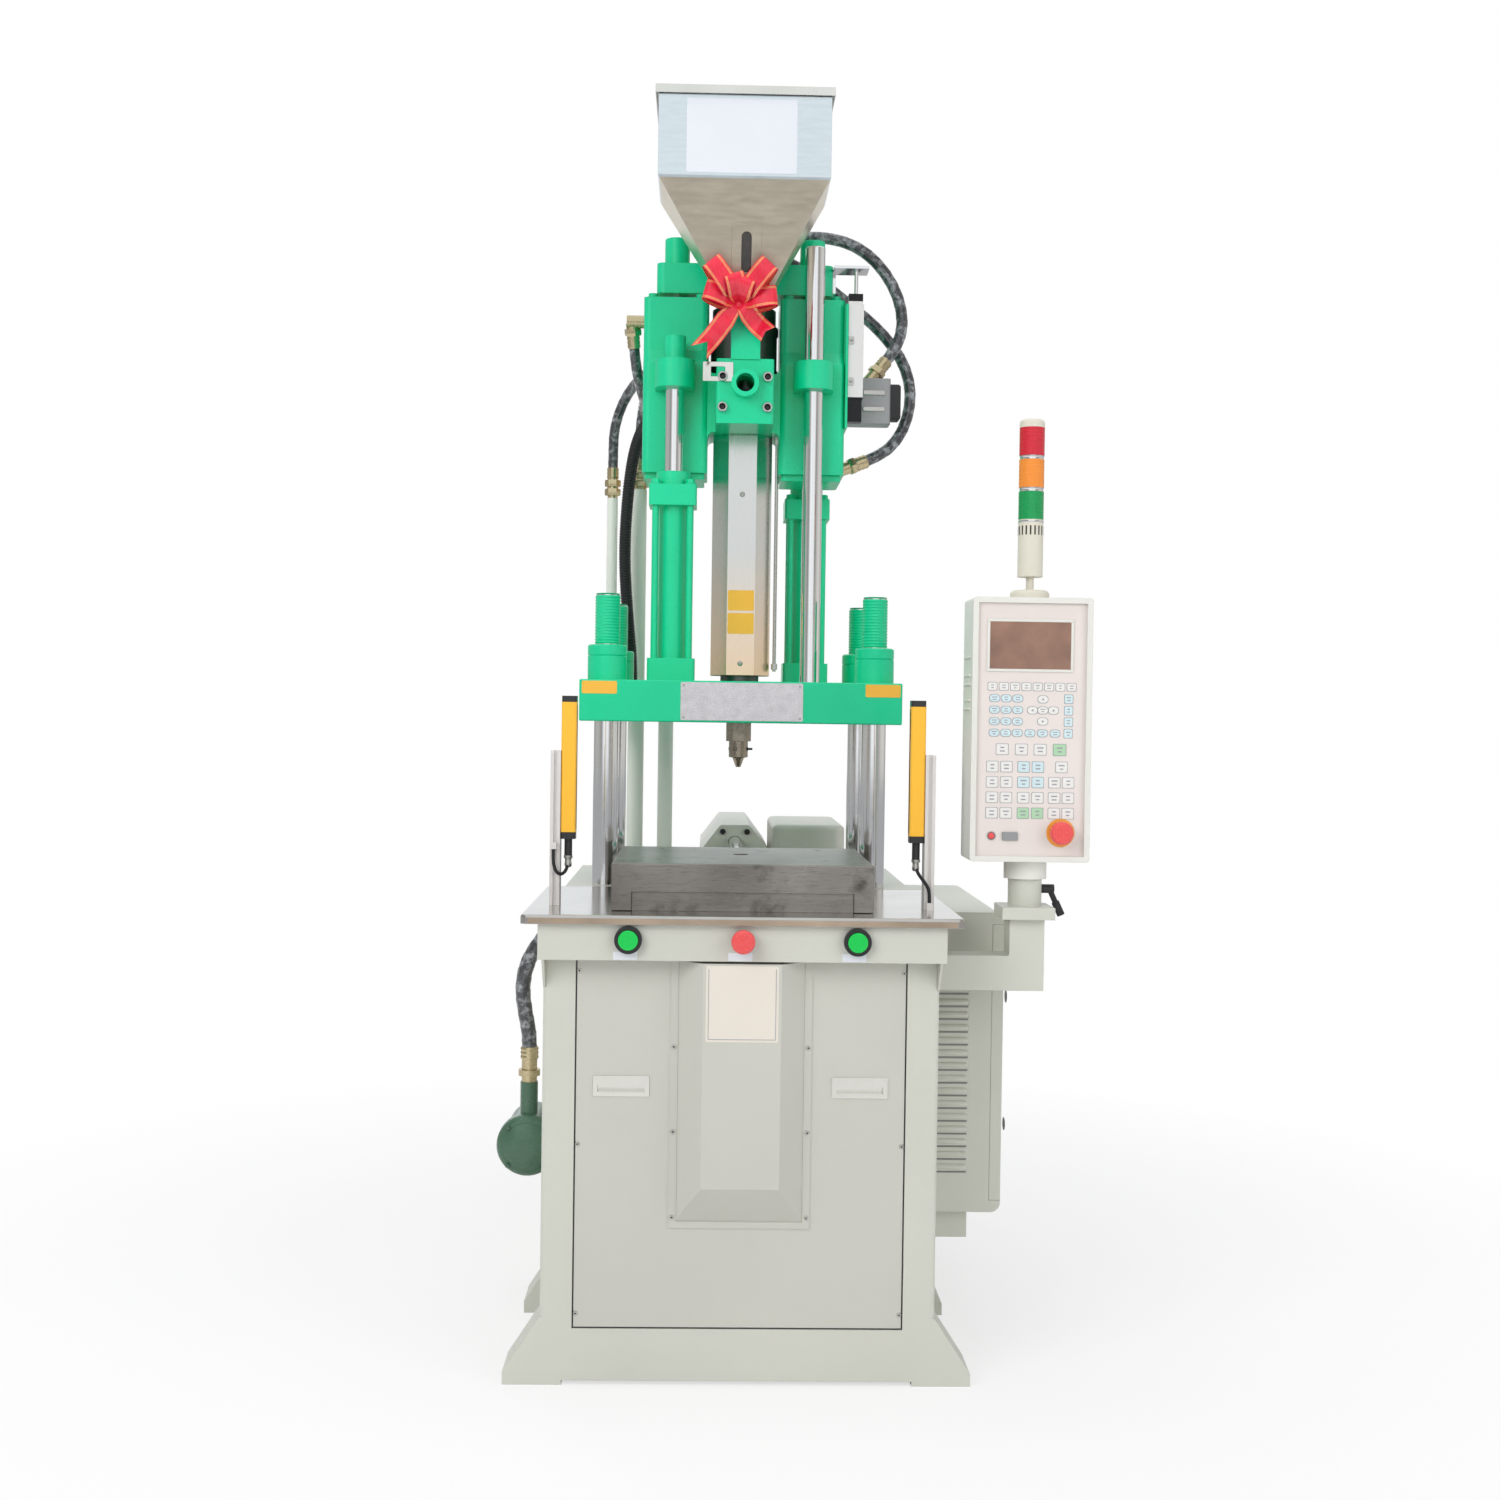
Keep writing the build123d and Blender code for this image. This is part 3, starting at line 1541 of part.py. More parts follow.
# Hydraulic motor: a flange, a round body with a cap and two hose ports on its right
with BuildPart() as hydraulic_motor:
    flange_top = beam_top + motor_flange_height
    rounded_block(
        (-motor_flange / 2, motor_flange / 2),
        (-beam_depth / 2, beam_depth / 2),
        (beam_top, flange_top),
        beam_corner,
    )
    upright(0, 0, (flange_top, motor_top), motor_radius)
    upright(0, 0, (motor_top, motor_top + motor_cap_height), motor_cap_radius)
    port_low = flange_top + port_radius + overrun
    port_high = port_low + 2 * port_radius + motor_cap_height + overrun
    port_way = (cos(radians(port_turn)), sin(radians(port_turn)), 0)
    with BuildSketch(Plane(origin=(0, 0, port_low), z_dir=port_way)):
        Circle(port_radius)
    extrude(amount=port_reach)
    along_x((0, port_reach), port_radius + overrun, port_high, port_radius)
hydraulic_motor.part.label = "hydraulic_motor"
export_step(hydraulic_motor.part, "parts/hydraulic_motor.step")

# Position sensor: an extruded body with an end cap above and below, beside the right block
with BuildPart() as position_sensor:
    block((sensor_left, sensor_right), (sensor_front, sensor_rear), (sensor_bottom, sensor_top))
    for low, high in ((sensor_cap_bottom, sensor_bottom), (sensor_top, sensor_cap_top)):
        block(
            (sensor_left - seat_gap, sensor_right - overrun),
            (sensor_front + overrun, sensor_rear - overrun),
            (low, high),
        )
    upright(
        sensor_x,
        sensor_y,
        (sensor_bottom, sensor_cap_top + overrun),
        sensor_rod_radius + running_gap,
        Mode.SUBTRACT,
    )
position_sensor.part.label = "position_sensor"
export_step(position_sensor.part, "parts/position_sensor.step")

# Sensor rod and the bracket that ties it to the beam
with BuildPart() as sensor_rod:
    upright(sensor_x, sensor_y, (sensor_rod_bottom, sensor_rod_top), sensor_rod_radius)
    block(
        (beam_half, bracket_right),
        (sensor_front, -beam_corner),
        (sensor_rod_top, sensor_rod_top + bracket_thickness),
    )
    block(
        (beam_half, beam_half + bracket_thickness),
        (-2 * beam_corner, -beam_corner),
        (sensor_rod_top - bracket_drop, sensor_rod_top + bracket_thickness),
    )
sensor_rod.part.label = "sensor_rod"
export_step(sensor_rod.part, "parts/sensor_rod.step")

# Connector: a rectangular plug housing on the side plate
with BuildPart() as connector_box:
    rounded_block(
        (block_outer + side_plate_thickness, connector_right),
        (connector_front, connector_rear),
        (connector_bottom, connector_top),
        connector_corner,
    )
connector_box.part.label = "connector_box"
export_step(connector_box.part, "parts/connector_box.step")

# Rear pipes: three standing pipes from the oil tank up to the hoses
with BuildPart() as hydraulic_pipes:
    for x, radius, height in zip(pipe_x, pipe_radii, pipe_heights):
        upright(x, pipe_y, (tank_top, tank_top + height), radius)
        upright(x, pipe_y, (tank_top, tank_top + nut_collar), radius + pipe_flange)
hydraulic_pipes.part.label = "hydraulic_pipes"
export_step(hydraulic_pipes.part, "parts/hydraulic_pipes.step")

def end_fitting(end, inner, radius, length, mode=Mode.ADD):
    """A round fitting that starts at a hose's end and runs on away from the hose."""
    away = (Vector(*end) - Vector(*inner)).normalized()
    with BuildSketch(Plane(origin=end, z_dir=away)) as section:
        Circle(radius)
    extrude(section.sketch, amount=length, mode=mode)


# Pipe fittings: unions on the pipe tops, the filter union and the suction elbow on the base wall
with BuildPart() as pipe_fittings:
    for x, radius, height in zip(pipe_x, pipe_radii, pipe_heights):
        top = tank_top + height
        upright(x, pipe_y, (top, top + union_height), radius * fitting_share)
        upright(x, pipe_y, (top + nut_collar, top + 2 * nut_collar), radius + union_step)
    upright(filter_x, filter_port_y, (filter_port_top, filter_fitting_top), suction_hose_radius)
    upright(
        filter_x,
        filter_port_y,
        (filter_port_top + nut_collar, filter_port_top + 2 * nut_collar),
        suction_hose_radius + nut_collar / 2,
    )
    end_fitting(suction_points[-1], suction_points[-2], suction_hose_radius, 2 * stub_length)
    block(
        (-base_half, 0),
        (suction_points[-1][1] - stub_length, suction_points[-1][1] + stub_length),
        (bottom_rail_top, deck_top),
        Mode.SUBTRACT,
    )
pipe_fittings.part.label = "pipe_fittings"
export_step(pipe_fittings.part, "parts/pipe_fittings.step")

# Hose fittings: brass ends on the injection base and the connector
with BuildPart() as hose_fittings:
    for points in (thin_riser_points, feed_riser_points, conduit_points):
        end_fitting(points[-1], points[-2], conduit_radius, 2 * stub_length)
    end_fitting(return_riser_points[-1], return_riser_points[-2], conduit_radius, stub_length)
    elbow_end = Vector(*return_riser_points[-1])
    along_x(
        (elbow_end.X - conduit_radius, 0),
        elbow_end.Y - conduit_radius,
        elbow_end.Z + stub_length,
        conduit_radius,
    )
    end_fitting(lower_motor_hose_points[-1], lower_motor_hose_points[-2], conduit_radius, 2 * stub_length)
    end_fitting(upper_motor_hose_points[-1], upper_motor_hose_points[-2], conduit_radius, 2 * stub_length)
    block(
        (-block_outer, block_outer),
        (-web_half_depth, block_half_depth),
        (block_bottom, block_top),
        Mode.SUBTRACT,
    )
    add(injection_base.part, mode=Mode.SUBTRACT)
    add(connector_box.part, mode=Mode.SUBTRACT)
    block(
        (block_outer, connector_right),
        (connector_front, connector_rear),
        (connector_bottom, connector_top),
        Mode.SUBTRACT,
    )
hose_fittings.part.label = "hose_fittings"
export_step(hose_fittings.part, "parts/hose_fittings.step")

# Riser hoses: from the three pipes to the injection base
with BuildPart() as riser_hoses:
    hose("thin riser", thin_riser_points, hose_radius)
    hose("return riser", return_riser_points, hose_radius)
    hose("feed riser", feed_riser_points, hose_radius)
riser_hoses.part.label = "riser_hoses"
export_step(riser_hoses.part, "parts/riser_hoses.step")

# Cable conduit: from the back of the platen up to the injection base
with BuildPart() as cable_conduit:
    hose("cable conduit", conduit_points, conduit_radius)
cable_conduit.part.label = "cable_conduit"
export_step(cable_conduit.part, "parts/cable_conduit.step")

# Motor hoses: from the two motor ports down to the connector side and the right block
with BuildPart() as motor_hoses:
    hose("upper motor hose", upper_motor_hose_points, pressure_hose_radius)
    hose("lower motor hose", lower_motor_hose_points, pressure_hose_radius)
motor_hoses.part.label = "motor_hoses"
export_step(motor_hoses.part, "parts/motor_hoses.step")

# Suction filter: a dished cap and a body on a neck from the base wall, with a port on top
with BuildPart() as suction_filter:
    cap_back = filter_front + filter_cap_depth
    along_y(filter_x, (filter_front, cap_back), filter_z, filter_radius)
    fillet(suction_filter.edges().group_by(Axis.Y)[0], filter_cap_depth / 2)
    along_y(filter_x, (cap_back, filter_front + filter_length), filter_z, filter_body_radius)
    along_x((filter_x, -base_half), filter_neck_y, filter_z, filter_neck_radius)
    upright(filter_x, filter_port_y, (filter_z, filter_port_top), filter_port_radius)
suction_filter.part.label = "suction_filter"
export_step(suction_filter.part, "parts/suction_filter.step")

# Suction hose: from the filter up into the base under the table
with BuildPart() as suction_hose:
    hose("suction hose", suction_points, suction_hose_radius)
suction_hose.part.label = "suction_hose"
export_step(suction_hose.part, "parts/suction_hose.step")

# Panel arm: a square tube bracket, a flange and a post with a pivot pin
with BuildPart() as panel_arm:
    arm_half = arm_size / 2
    with BuildSketch(Plane.XZ.offset(-swivel_y)) as bracket:
        with BuildLine():
            Polyline(
                (base_half, arm_bottom),
                (swivel_x + arm_half, arm_bottom),
                (swivel_x + arm_half, riser_top),
                (swivel_x - arm_half, riser_top),
                (swivel_x - arm_half, arm_top),
                (base_half, arm_top),
                close=True,
            )
        make_face()
    extrude(amount=arm_half, both=True)
    arm_edges = panel_arm.edges().filter_by(Axis.Y)
    fillet(arm_edges.filter_by_position(Axis.X, swivel_x - arm_size, swivel_x), arm_corner)
    flange_half = arm_flange / 2
    block(
        (swivel_x - flange_half, swivel_x + flange_half),
        (swivel_y - flange_half, swivel_y + flange_half),
        (riser_top, arm_flange_top),
    )
    fillet(panel_arm.faces().sort_by(Axis.Z)[-1].edges(), arm_corner / 2)
    upright(swivel_x, swivel_y, (arm_flange_top, collar_bottom - seat_gap), post_radius)
    upright(swivel_x, swivel_y, (collar_bottom - overrun, collar_bottom + pivot_length), pivot_radius)
panel_arm.part.label = "panel_arm"
export_step(panel_arm.part, "parts/panel_arm.step")

# Control box: a deep tray with a rim, side vents and a collar that turns on the post
with BuildPart() as controller_box:
    block(
        (controller_left, controller_right),
        (controller_front, controller_rear),
        (controller_bottom, controller_top),
    )
    fillet(controller_box.edges().filter_by(Axis.Y), controller_corner)
    block(
        (controller_left + controller_rim, controller_right - controller_rim),
        (controller_front - overrun, face_front + face_thickness),
        (controller_bottom + controller_rim, controller_top - controller_rim),
        Mode.SUBTRACT,
    )
    upright(swivel_x, swivel_y, (collar_bottom, controller_bottom), collar_radius)
    upright(
        swivel_x,
        swivel_y,
        (collar_bottom - overrun, collar_bottom + pivot_length + seat_gap),
        pivot_radius + running_gap,
        Mode.SUBTRACT,
    )
    along_y(
        panel_stop_x,
        (face_front, controller_rear - controller_wall),
        panel_stop_z,
        stop_stem_radius + running_gap,
        Mode.SUBTRACT,
    )
controller_box.part.label = "controller_box"
export_step(controller_box.part, "parts/controller_box.step")

# Control face: the inset key panel with a raised ring round the stop button
with BuildPart() as control_face:
    block(
        (controller_left + controller_rim + fit_gap, controller_right - controller_rim - fit_gap),
        (face_front, face_front + face_thickness),
        (controller_bottom + controller_rim + fit_gap, controller_top - controller_rim - fit_gap),
    )
    ring_front = face_front - panel_stop_ring_depth
    along_y(panel_stop_x, (ring_front, face_front), panel_stop_z, panel_stop_ring_radius)
    along_y(
        panel_stop_x,
        (face_front - panel_stop_ring_depth - overrun, face_front + face_thickness + overrun),
        panel_stop_z,
        stop_stem_radius + running_gap,
        Mode.SUBTRACT,
    )
control_face.part.label = "control_face"
export_step(control_face.part, "parts/control_face.step")

# Display: a tinted window on the control face
with BuildPart() as display:
    block(
        (screen_left, screen_right),
        (face_front - screen_thickness, face_front),
        (screen_bottom, screen_top),
    )
    fillet(display.edges().filter_by(Axis.Y), screen_thickness)
display.part.label = "display"
export_step(display.part, "parts/display.step")

# Panel stop button: a mushroom head on a stem
with BuildPart() as panel_stop_button:
    head_back = face_front - panel_stop_ring_depth - stop_travel_room
    along_y(panel_stop_x, (head_back - stop_head_depth, head_back), panel_stop_z, stop_head_radius)
    fillet(panel_stop_button.edges().group_by(Axis.Y)[0], stop_head_depth / 2)
    along_y(panel_stop_x, (head_back, face_front + button_stem), panel_stop_z, stop_stem_radius)
panel_stop_button.part.label = "panel_stop_button"
export_step(panel_stop_button.part, "parts/panel_stop_button.step")

# Signal tower: a foot, a stem, a round body with rings between the lenses and a cap
lens_bottoms = [tower_body_top + n * (tower_lens_height + tower_ring_height) for n in range(3)]
tower_top = lens_bottoms[-1] + tower_lens_height + tower_cap_height
with BuildPart() as tower_body:
    foot_top = controller_top + tower_flange_height
    upright(swivel_x, swivel_y, (controller_top, foot_top), tower_flange_radius)
    fillet(tower_body.edges().group_by(Axis.Z)[-1], tower_flange_height / 2)
    upright(swivel_x, swivel_y, (foot_top - overrun, tower_stem_top), tower_stem_radius)
    upright(swivel_x, swivel_y, (tower_stem_top, tower_body_top), tower_radius)
    upright(swivel_x, swivel_y, (tower_body_top, tower_top), tower_stem_radius)
    for low in lens_bottoms[1:]:
        upright(swivel_x, swivel_y, (low - tower_ring_height, low), tower_ring_radius)
    upright(swivel_x, swivel_y, (tower_top - tower_cap_height, tower_top), tower_radius)
    fillet(tower_body.edges().group_by(Axis.Z)[-1], tower_cap_height / 2)
tower_body.part.label = "tower_body"
export_step(tower_body.part, "parts/tower_body.step")

# Tower lenses: three coloured rings
with BuildPart() as tower_lenses:
    for low in lens_bottoms:
        upright(swivel_x, swivel_y, (low, low + tower_lens_height), tower_radius)
        upright(
            swivel_x,
            swivel_y,
            (low - overrun, low + tower_lens_height + overrun),
            tower_stem_radius + fit_gap,
            Mode.SUBTRACT,
        )
tower_lenses.part.label = "tower_lenses"
export_step(tower_lenses.part, "parts/tower_lenses.step")

# Clamp lever: a hub beside the post with a leaning arm and a thicker grip
with BuildPart() as clamp_lever:
    hub_left = swivel_x + post_radius + seat_gap
    along_x((hub_left, hub_left + lever_hub_length), swivel_y, lever_z, lever_hub_radius)
    lean = radians(lever_lean)
    root = Vector(hub_left + lever_hub_length - lever_hub_radius, swivel_y, lever_z)
    way = Vector(sin(lean), 0, -cos(lean))
    with BuildSketch(Plane(origin=root, z_dir=way)):
        Circle(lever_arm_radius)
    extrude(amount=lever_arm_length)
    with BuildSketch(Plane(origin=root + way * (lever_arm_length / 2), z_dir=way)):
        Circle(lever_grip_radius)
    extrude(amount=lever_arm_length / 2)
clamp_lever.part.label = "clamp_lever"
export_step(clamp_lever.part, "parts/clamp_lever.step")

# Control cabinet: a sheet box with louvres in front, open on its right for the door
with BuildPart() as control_cabinet:
    block((base_half, cabinet_right), (cabinet_front, cabinet_rear), (cabinet_bottom, cabinet_top))
    fillet(control_cabinet.edges().filter_by(Axis.Y).group_by(Axis.X)[-1], cabinet_corner)
    block(
        (base_half + cabinet_sheet, door_inner - cabinet_sheet),
        (cabinet_front + cabinet_sheet, cabinet_rear - cabinet_sheet),
        (cabinet_bottom + cabinet_sheet, cabinet_top - cabinet_sheet),
        Mode.SUBTRACT,
    )
    block(
        (door_inner - cabinet_sheet - overrun, cabinet_right + overrun),
        (cabinet_front + cabinet_sheet, cabinet_rear - cabinet_sheet),
        (door_bottom, door_top),
        Mode.SUBTRACT,
    )
    block(
        (door_inner - door_gap, cabinet_right + overrun),
        (cabinet_front - overrun, cabinet_rear - cabinet_sheet),
        (door_bottom, door_top),
        Mode.SUBTRACT,
    )
    for number in range(louvre_count):
        low = louvre_bottom + number * louvre_pitch
        with BuildSketch(Plane.YZ.offset(louvre_right - louvre_length)):
            with BuildLine():
                Polyline(
                    (cabinet_front, low),
                    (cabinet_front - louvre_reach, low),
                    (cabinet_front, low + louvre_height),
                    close=True,
                )
            make_face()
        extrude(amount=louvre_length)
    block(
        (base_half, cabinet_bracket_right),
        (cabinet_front + cabinet_lip, cabinet_rear - cabinet_lip),
        (cabinet_bracket_bottom, cabinet_bottom),
    )
    for low in hinge_bottoms:
        upright(hinge_axis_x, door_rear, (low, low + hinge_length / 2), hinge_radius)
        block(
            (hinge_axis_x - hinge_radius - hinge_notch, cabinet_right + overrun),
            (door_rear, cabinet_rear + overrun),
            (low + hinge_length / 2, low + hinge_length + door_gap),
            Mode.SUBTRACT,
        )
control_cabinet.part.label = "control_cabinet"
export_step(control_cabinet.part, "parts/control_cabinet.step")

# Cabinet door: a tray on two outside hinges at its rear edge
with BuildPart() as cabinet_door:
    block(
        (door_inner, cabinet_right),
        (cabinet_front, door_rear),
        (door_bottom + door_gap, door_top - door_gap),
    )
    block(
        (door_inner - overrun, cabinet_right - cabinet_sheet),
        (cabinet_front + cabinet_sheet, door_rear - cabinet_sheet),
        (door_bottom + door_gap + cabinet_sheet, door_top - door_gap - cabinet_sheet),
        Mode.SUBTRACT,
    )
    for low in hinge_bottoms:
        middle = low + hinge_length / 2
        notch = hinge_radius + hinge_notch
        upright(hinge_axis_x, door_rear, (middle + door_gap, low + hinge_length), hinge_radius)
        block(
            (hinge_axis_x - notch, hinge_axis_x + notch),
            (door_rear - notch, door_rear + notch),
            (low - door_gap, middle + door_gap),
            Mode.SUBTRACT,
        )
cabinet_door.part.label = "cabinet_door"
export_step(cabinet_door.part, "parts/cabinet_door.step")

# Light curtain posts: grooved aluminium sections on the table, each with a cable clip
with BuildPart() as curtain_posts:
    for side in (-1, 1):
        centre = side * (curtain_post_inner + curtain_post_outer) / 2
        with BuildSketch(Plane.XY.offset(deck_top)):
            with Locations((centre, curtain_y)):
                Rectangle(curtain_post_outer - curtain_post_inner, curtain_post_depth)
            for face in (-1, 1):
                with Locations((centre, curtain_y + face * (curtain_post_depth - post_slot_depth) / 2)):
                    Rectangle(post_slot, post_slot_depth, mode=Mode.SUBTRACT)
        extrude(amount=curtain_post_top - deck_top)
    post_x = (curtain_post_inner + curtain_post_outer) / 2
    post_front = curtain_y - curtain_post_depth / 2
    left_clip_bottom = deck_top + left_clip_rise
    for x, low, high in (
        (-post_x - clip_shift, left_clip_bottom, left_clip_bottom + clip_height),
        (post_x, deck_top, deck_top + right_clip_height),
    ):
        block(
            (x - clip_half, x + clip_half),
            (post_front - clip_stand - clip_half, post_front + overrun / 2),
            (low, high),
        )
curtain_posts.part.label = "curtain_posts"
export_step(curtain_posts.part, "parts/curtain_posts.step")

# Light curtains: a sensor bar on each post with end caps and a plug below
with BuildPart() as light_curtains:
    for side in (-1, 1):
        x = sorted((side * curtain_inner, side * curtain_post_inner))
        y = (curtain_y - curtain_depth / 2, curtain_y + curtain_depth / 2)
        rounded_block(x, y, (curtain_bottom + curtain_cap, curtain_top - curtain_cap), curtain_corner)
        for low in (curtain_bottom, curtain_top - curtain_cap):
            rounded_block(
                (x[0] + seat_gap, x[1] - seat_gap),
                (y[0] + seat_gap, y[1] - seat_gap),
                (low, low + curtain_cap),
                curtain_corner,
            )
        upright(
            side * (curtain_inner + curtain_post_inner) / 2,
            curtain_y,
            (curtain_bottom - curtain_plug_length, curtain_bottom),
            curtain_plug_radius,
        )
light_curtains.part.label = "light_curtains"
export_step(light_curtains.part, "parts/light_curtains.step")

# Sensor cables: short leads from the light curtains to their clips
with BuildPart() as sensor_cables:
    hose("left sensor cable", left_cable_points, cable_radius)
    hose("right sensor cable", right_cable_points, cable_radius)
sensor_cables.part.label = "sensor_cables"
export_step(sensor_cables.part, "parts/sensor_cables.step")

# Ribbon bow: loops and two tails round a knot on the feed column
bow_angles = (126, 50, 160, 10, 92)
bow_reach_shares = (1.0, 1.0, 0.72, 0.76, 0.55)
bow_lean_shares = (0.6, 0.6, 0.4, 0.4, 0.9)
with BuildPart() as ribbon_bow:
    knot = Vector(bow_x, bow_y - bow_knot_radius, bow_z)
    with Locations(knot):
        Sphere(bow_knot_radius - seat_gap)
    for angle, reach_share, lean_share in zip(bow_angles, bow_reach_shares, bow_lean_shares):
        out = Vector(cos(radians(angle)), -lean_share, sin(radians(angle)))
        across = Vector(-sin(radians(angle)), 0, cos(radians(angle)))
        reach = reach_share * bow_reach
        with BuildSketch(Plane(origin=knot, x_dir=out, z_dir=across)):
            with Locations((reach / 2 + bow_root, 0)):
                Ellipse(reach / 2, bow_loop_depth)
                Ellipse(
                    reach / 2 - bow_ribbon_thickness,
                    bow_loop_depth - bow_ribbon_thickness,
                    mode=Mode.SUBTRACT,
                )
        extrude(amount=reach_share * bow_ribbon / 2, both=True)
    for angle, tail in ((228, bow_left_tail), (316, bow_right_tail)):
        out = Vector(cos(radians(angle)), 0, sin(radians(angle)))
        with BuildSketch(Plane(origin=knot, x_dir=out, z_dir=(0, 1, 0))):
            with Locations((tail / 2, 0)):
                Rectangle(tail, bow_tail_width)
        extrude(amount=bow_ribbon_thickness / 2, both=True)
ribbon_bow.part.label = "ribbon_bow"
export_step(ribbon_bow.part, "parts/ribbon_bow.step")
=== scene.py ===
import math

import bmesh
import bpy
from mathutils import Matrix, Vector


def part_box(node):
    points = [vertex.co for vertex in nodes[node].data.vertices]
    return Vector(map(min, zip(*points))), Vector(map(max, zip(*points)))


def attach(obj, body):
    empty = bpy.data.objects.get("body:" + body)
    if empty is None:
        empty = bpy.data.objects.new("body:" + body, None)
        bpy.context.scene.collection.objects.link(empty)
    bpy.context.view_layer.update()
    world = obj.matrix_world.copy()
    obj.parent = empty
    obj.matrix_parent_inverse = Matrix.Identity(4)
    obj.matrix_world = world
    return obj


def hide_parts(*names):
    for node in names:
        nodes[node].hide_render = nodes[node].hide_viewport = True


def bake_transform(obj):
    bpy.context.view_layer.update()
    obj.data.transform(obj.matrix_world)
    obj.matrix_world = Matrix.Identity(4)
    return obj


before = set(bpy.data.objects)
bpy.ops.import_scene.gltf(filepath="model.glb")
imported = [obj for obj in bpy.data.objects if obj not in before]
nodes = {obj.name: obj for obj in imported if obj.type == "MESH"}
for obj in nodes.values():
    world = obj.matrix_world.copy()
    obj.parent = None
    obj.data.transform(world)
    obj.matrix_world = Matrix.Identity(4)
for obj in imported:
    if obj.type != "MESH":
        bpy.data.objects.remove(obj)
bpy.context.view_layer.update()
scene = bpy.context.scene
MM = 0.001
ACROSS, FRONT, UP = (1, 0, 0), (0, -1, 0), (0, 0, 1)
SIDES = (-1, 1)
# Directions across plates on the left side, the rear and the right side
LEFT, REAR, RIGHT = (0, -1, 0), (-1, 0, 0), (0, 1, 0)


def at(x, y, z):
    """A place given in millimetres, in metres."""
    return Vector((x, y, z)) * MM


def linked(name, data):
    """A new object in the scene."""
    made = bpy.data.objects.new(name, data)
    scene.collection.objects.link(made)
    return made


# Camera at the photograph's place, with its small turn, tilt and roll
CAMERA_PLACE = at(-66, -3783, 1155)
CAMERA_TURN, CAMERA_TILT, CAMERA_ROLL = math.radians(1.37), math.radians(1.016), math.radians(0.8)
CAMERA_LENS, CAMERA_SENSOR = 43.296, 36.0
camera_data = bpy.data.cameras.new("camera")
camera_data.sensor_width = CAMERA_SENSOR
camera_data.lens = CAMERA_LENS
camera = linked("camera", camera_data)
camera.matrix_world = (
    Matrix.Translation(CAMERA_PLACE)
    @ Matrix.Rotation(-CAMERA_TURN, 4, "Z")
    @ Matrix.Rotation(math.pi / 2 - CAMERA_TILT, 4, "X")
    @ Matrix.Rotation(CAMERA_ROLL, 4, "Z")
)
scene.camera = camera
scene.view_settings.view_transform = "Standard"


# Node helpers for materials
def add_node(tree, kind, settings=None, **inputs):
    """A shader node with its settings and its inputs, each a value or another node's output."""
    made = tree.nodes.new("ShaderNode" + kind)
    for key, value in (settings or {}).items():
        setattr(made, key, value)
    for key, value in inputs.items():
        socket = made.inputs[key.replace("_", " ")]
        if isinstance(value, bpy.types.NodeSocket):
            tree.links.new(value, socket)
        else:
            socket.default_value = value
    return made


def ramp(tree, fac, stops, constant=False):
    """A colour ramp with (place, colour) stops."""
    made = add_node(tree, "ValToRGB", Fac=fac)
    band = made.color_ramp
    if constant:
        band.interpolation = "CONSTANT"
    while len(band.elements) < len(stops):
        band.elements.new(0.5)
    for element, (place, colour) in zip(band.elements, stops):
        element.position = place
        element.color = (*colour, 1.0)
    return made.outputs["Color"]


def spread(tree, value, low, high, new_low, new_high):
    """A value moved from one range to another and held inside it."""
    made = add_node(
        tree, "MapRange", Value=value, From_Min=low, From_Max=high, To_Min=new_low, To_Max=new_high
    )
    return made.outputs["Result"]


def mix(tree, amount, first, second, blend="MIX"):
    """Two colours mixed or multiplied by an amount."""
    made = add_node(tree, "MixRGB", {"blend_type": blend}, Fac=amount, Color1=first, Color2=second)
    return made.outputs["Color"]


# Most of a noise pattern lies between these values
NOISE_LOW, NOISE_HIGH = 0.3, 0.7
STAIN_AND_SHEEN_SCALE, STAIN_AND_SHEEN_EDGE, STAIN_AND_SHEEN_MOST = 2.3, 0.16, 0.8
LEAST_ROUGH, BUMP_RISE = 0.02, 0.001


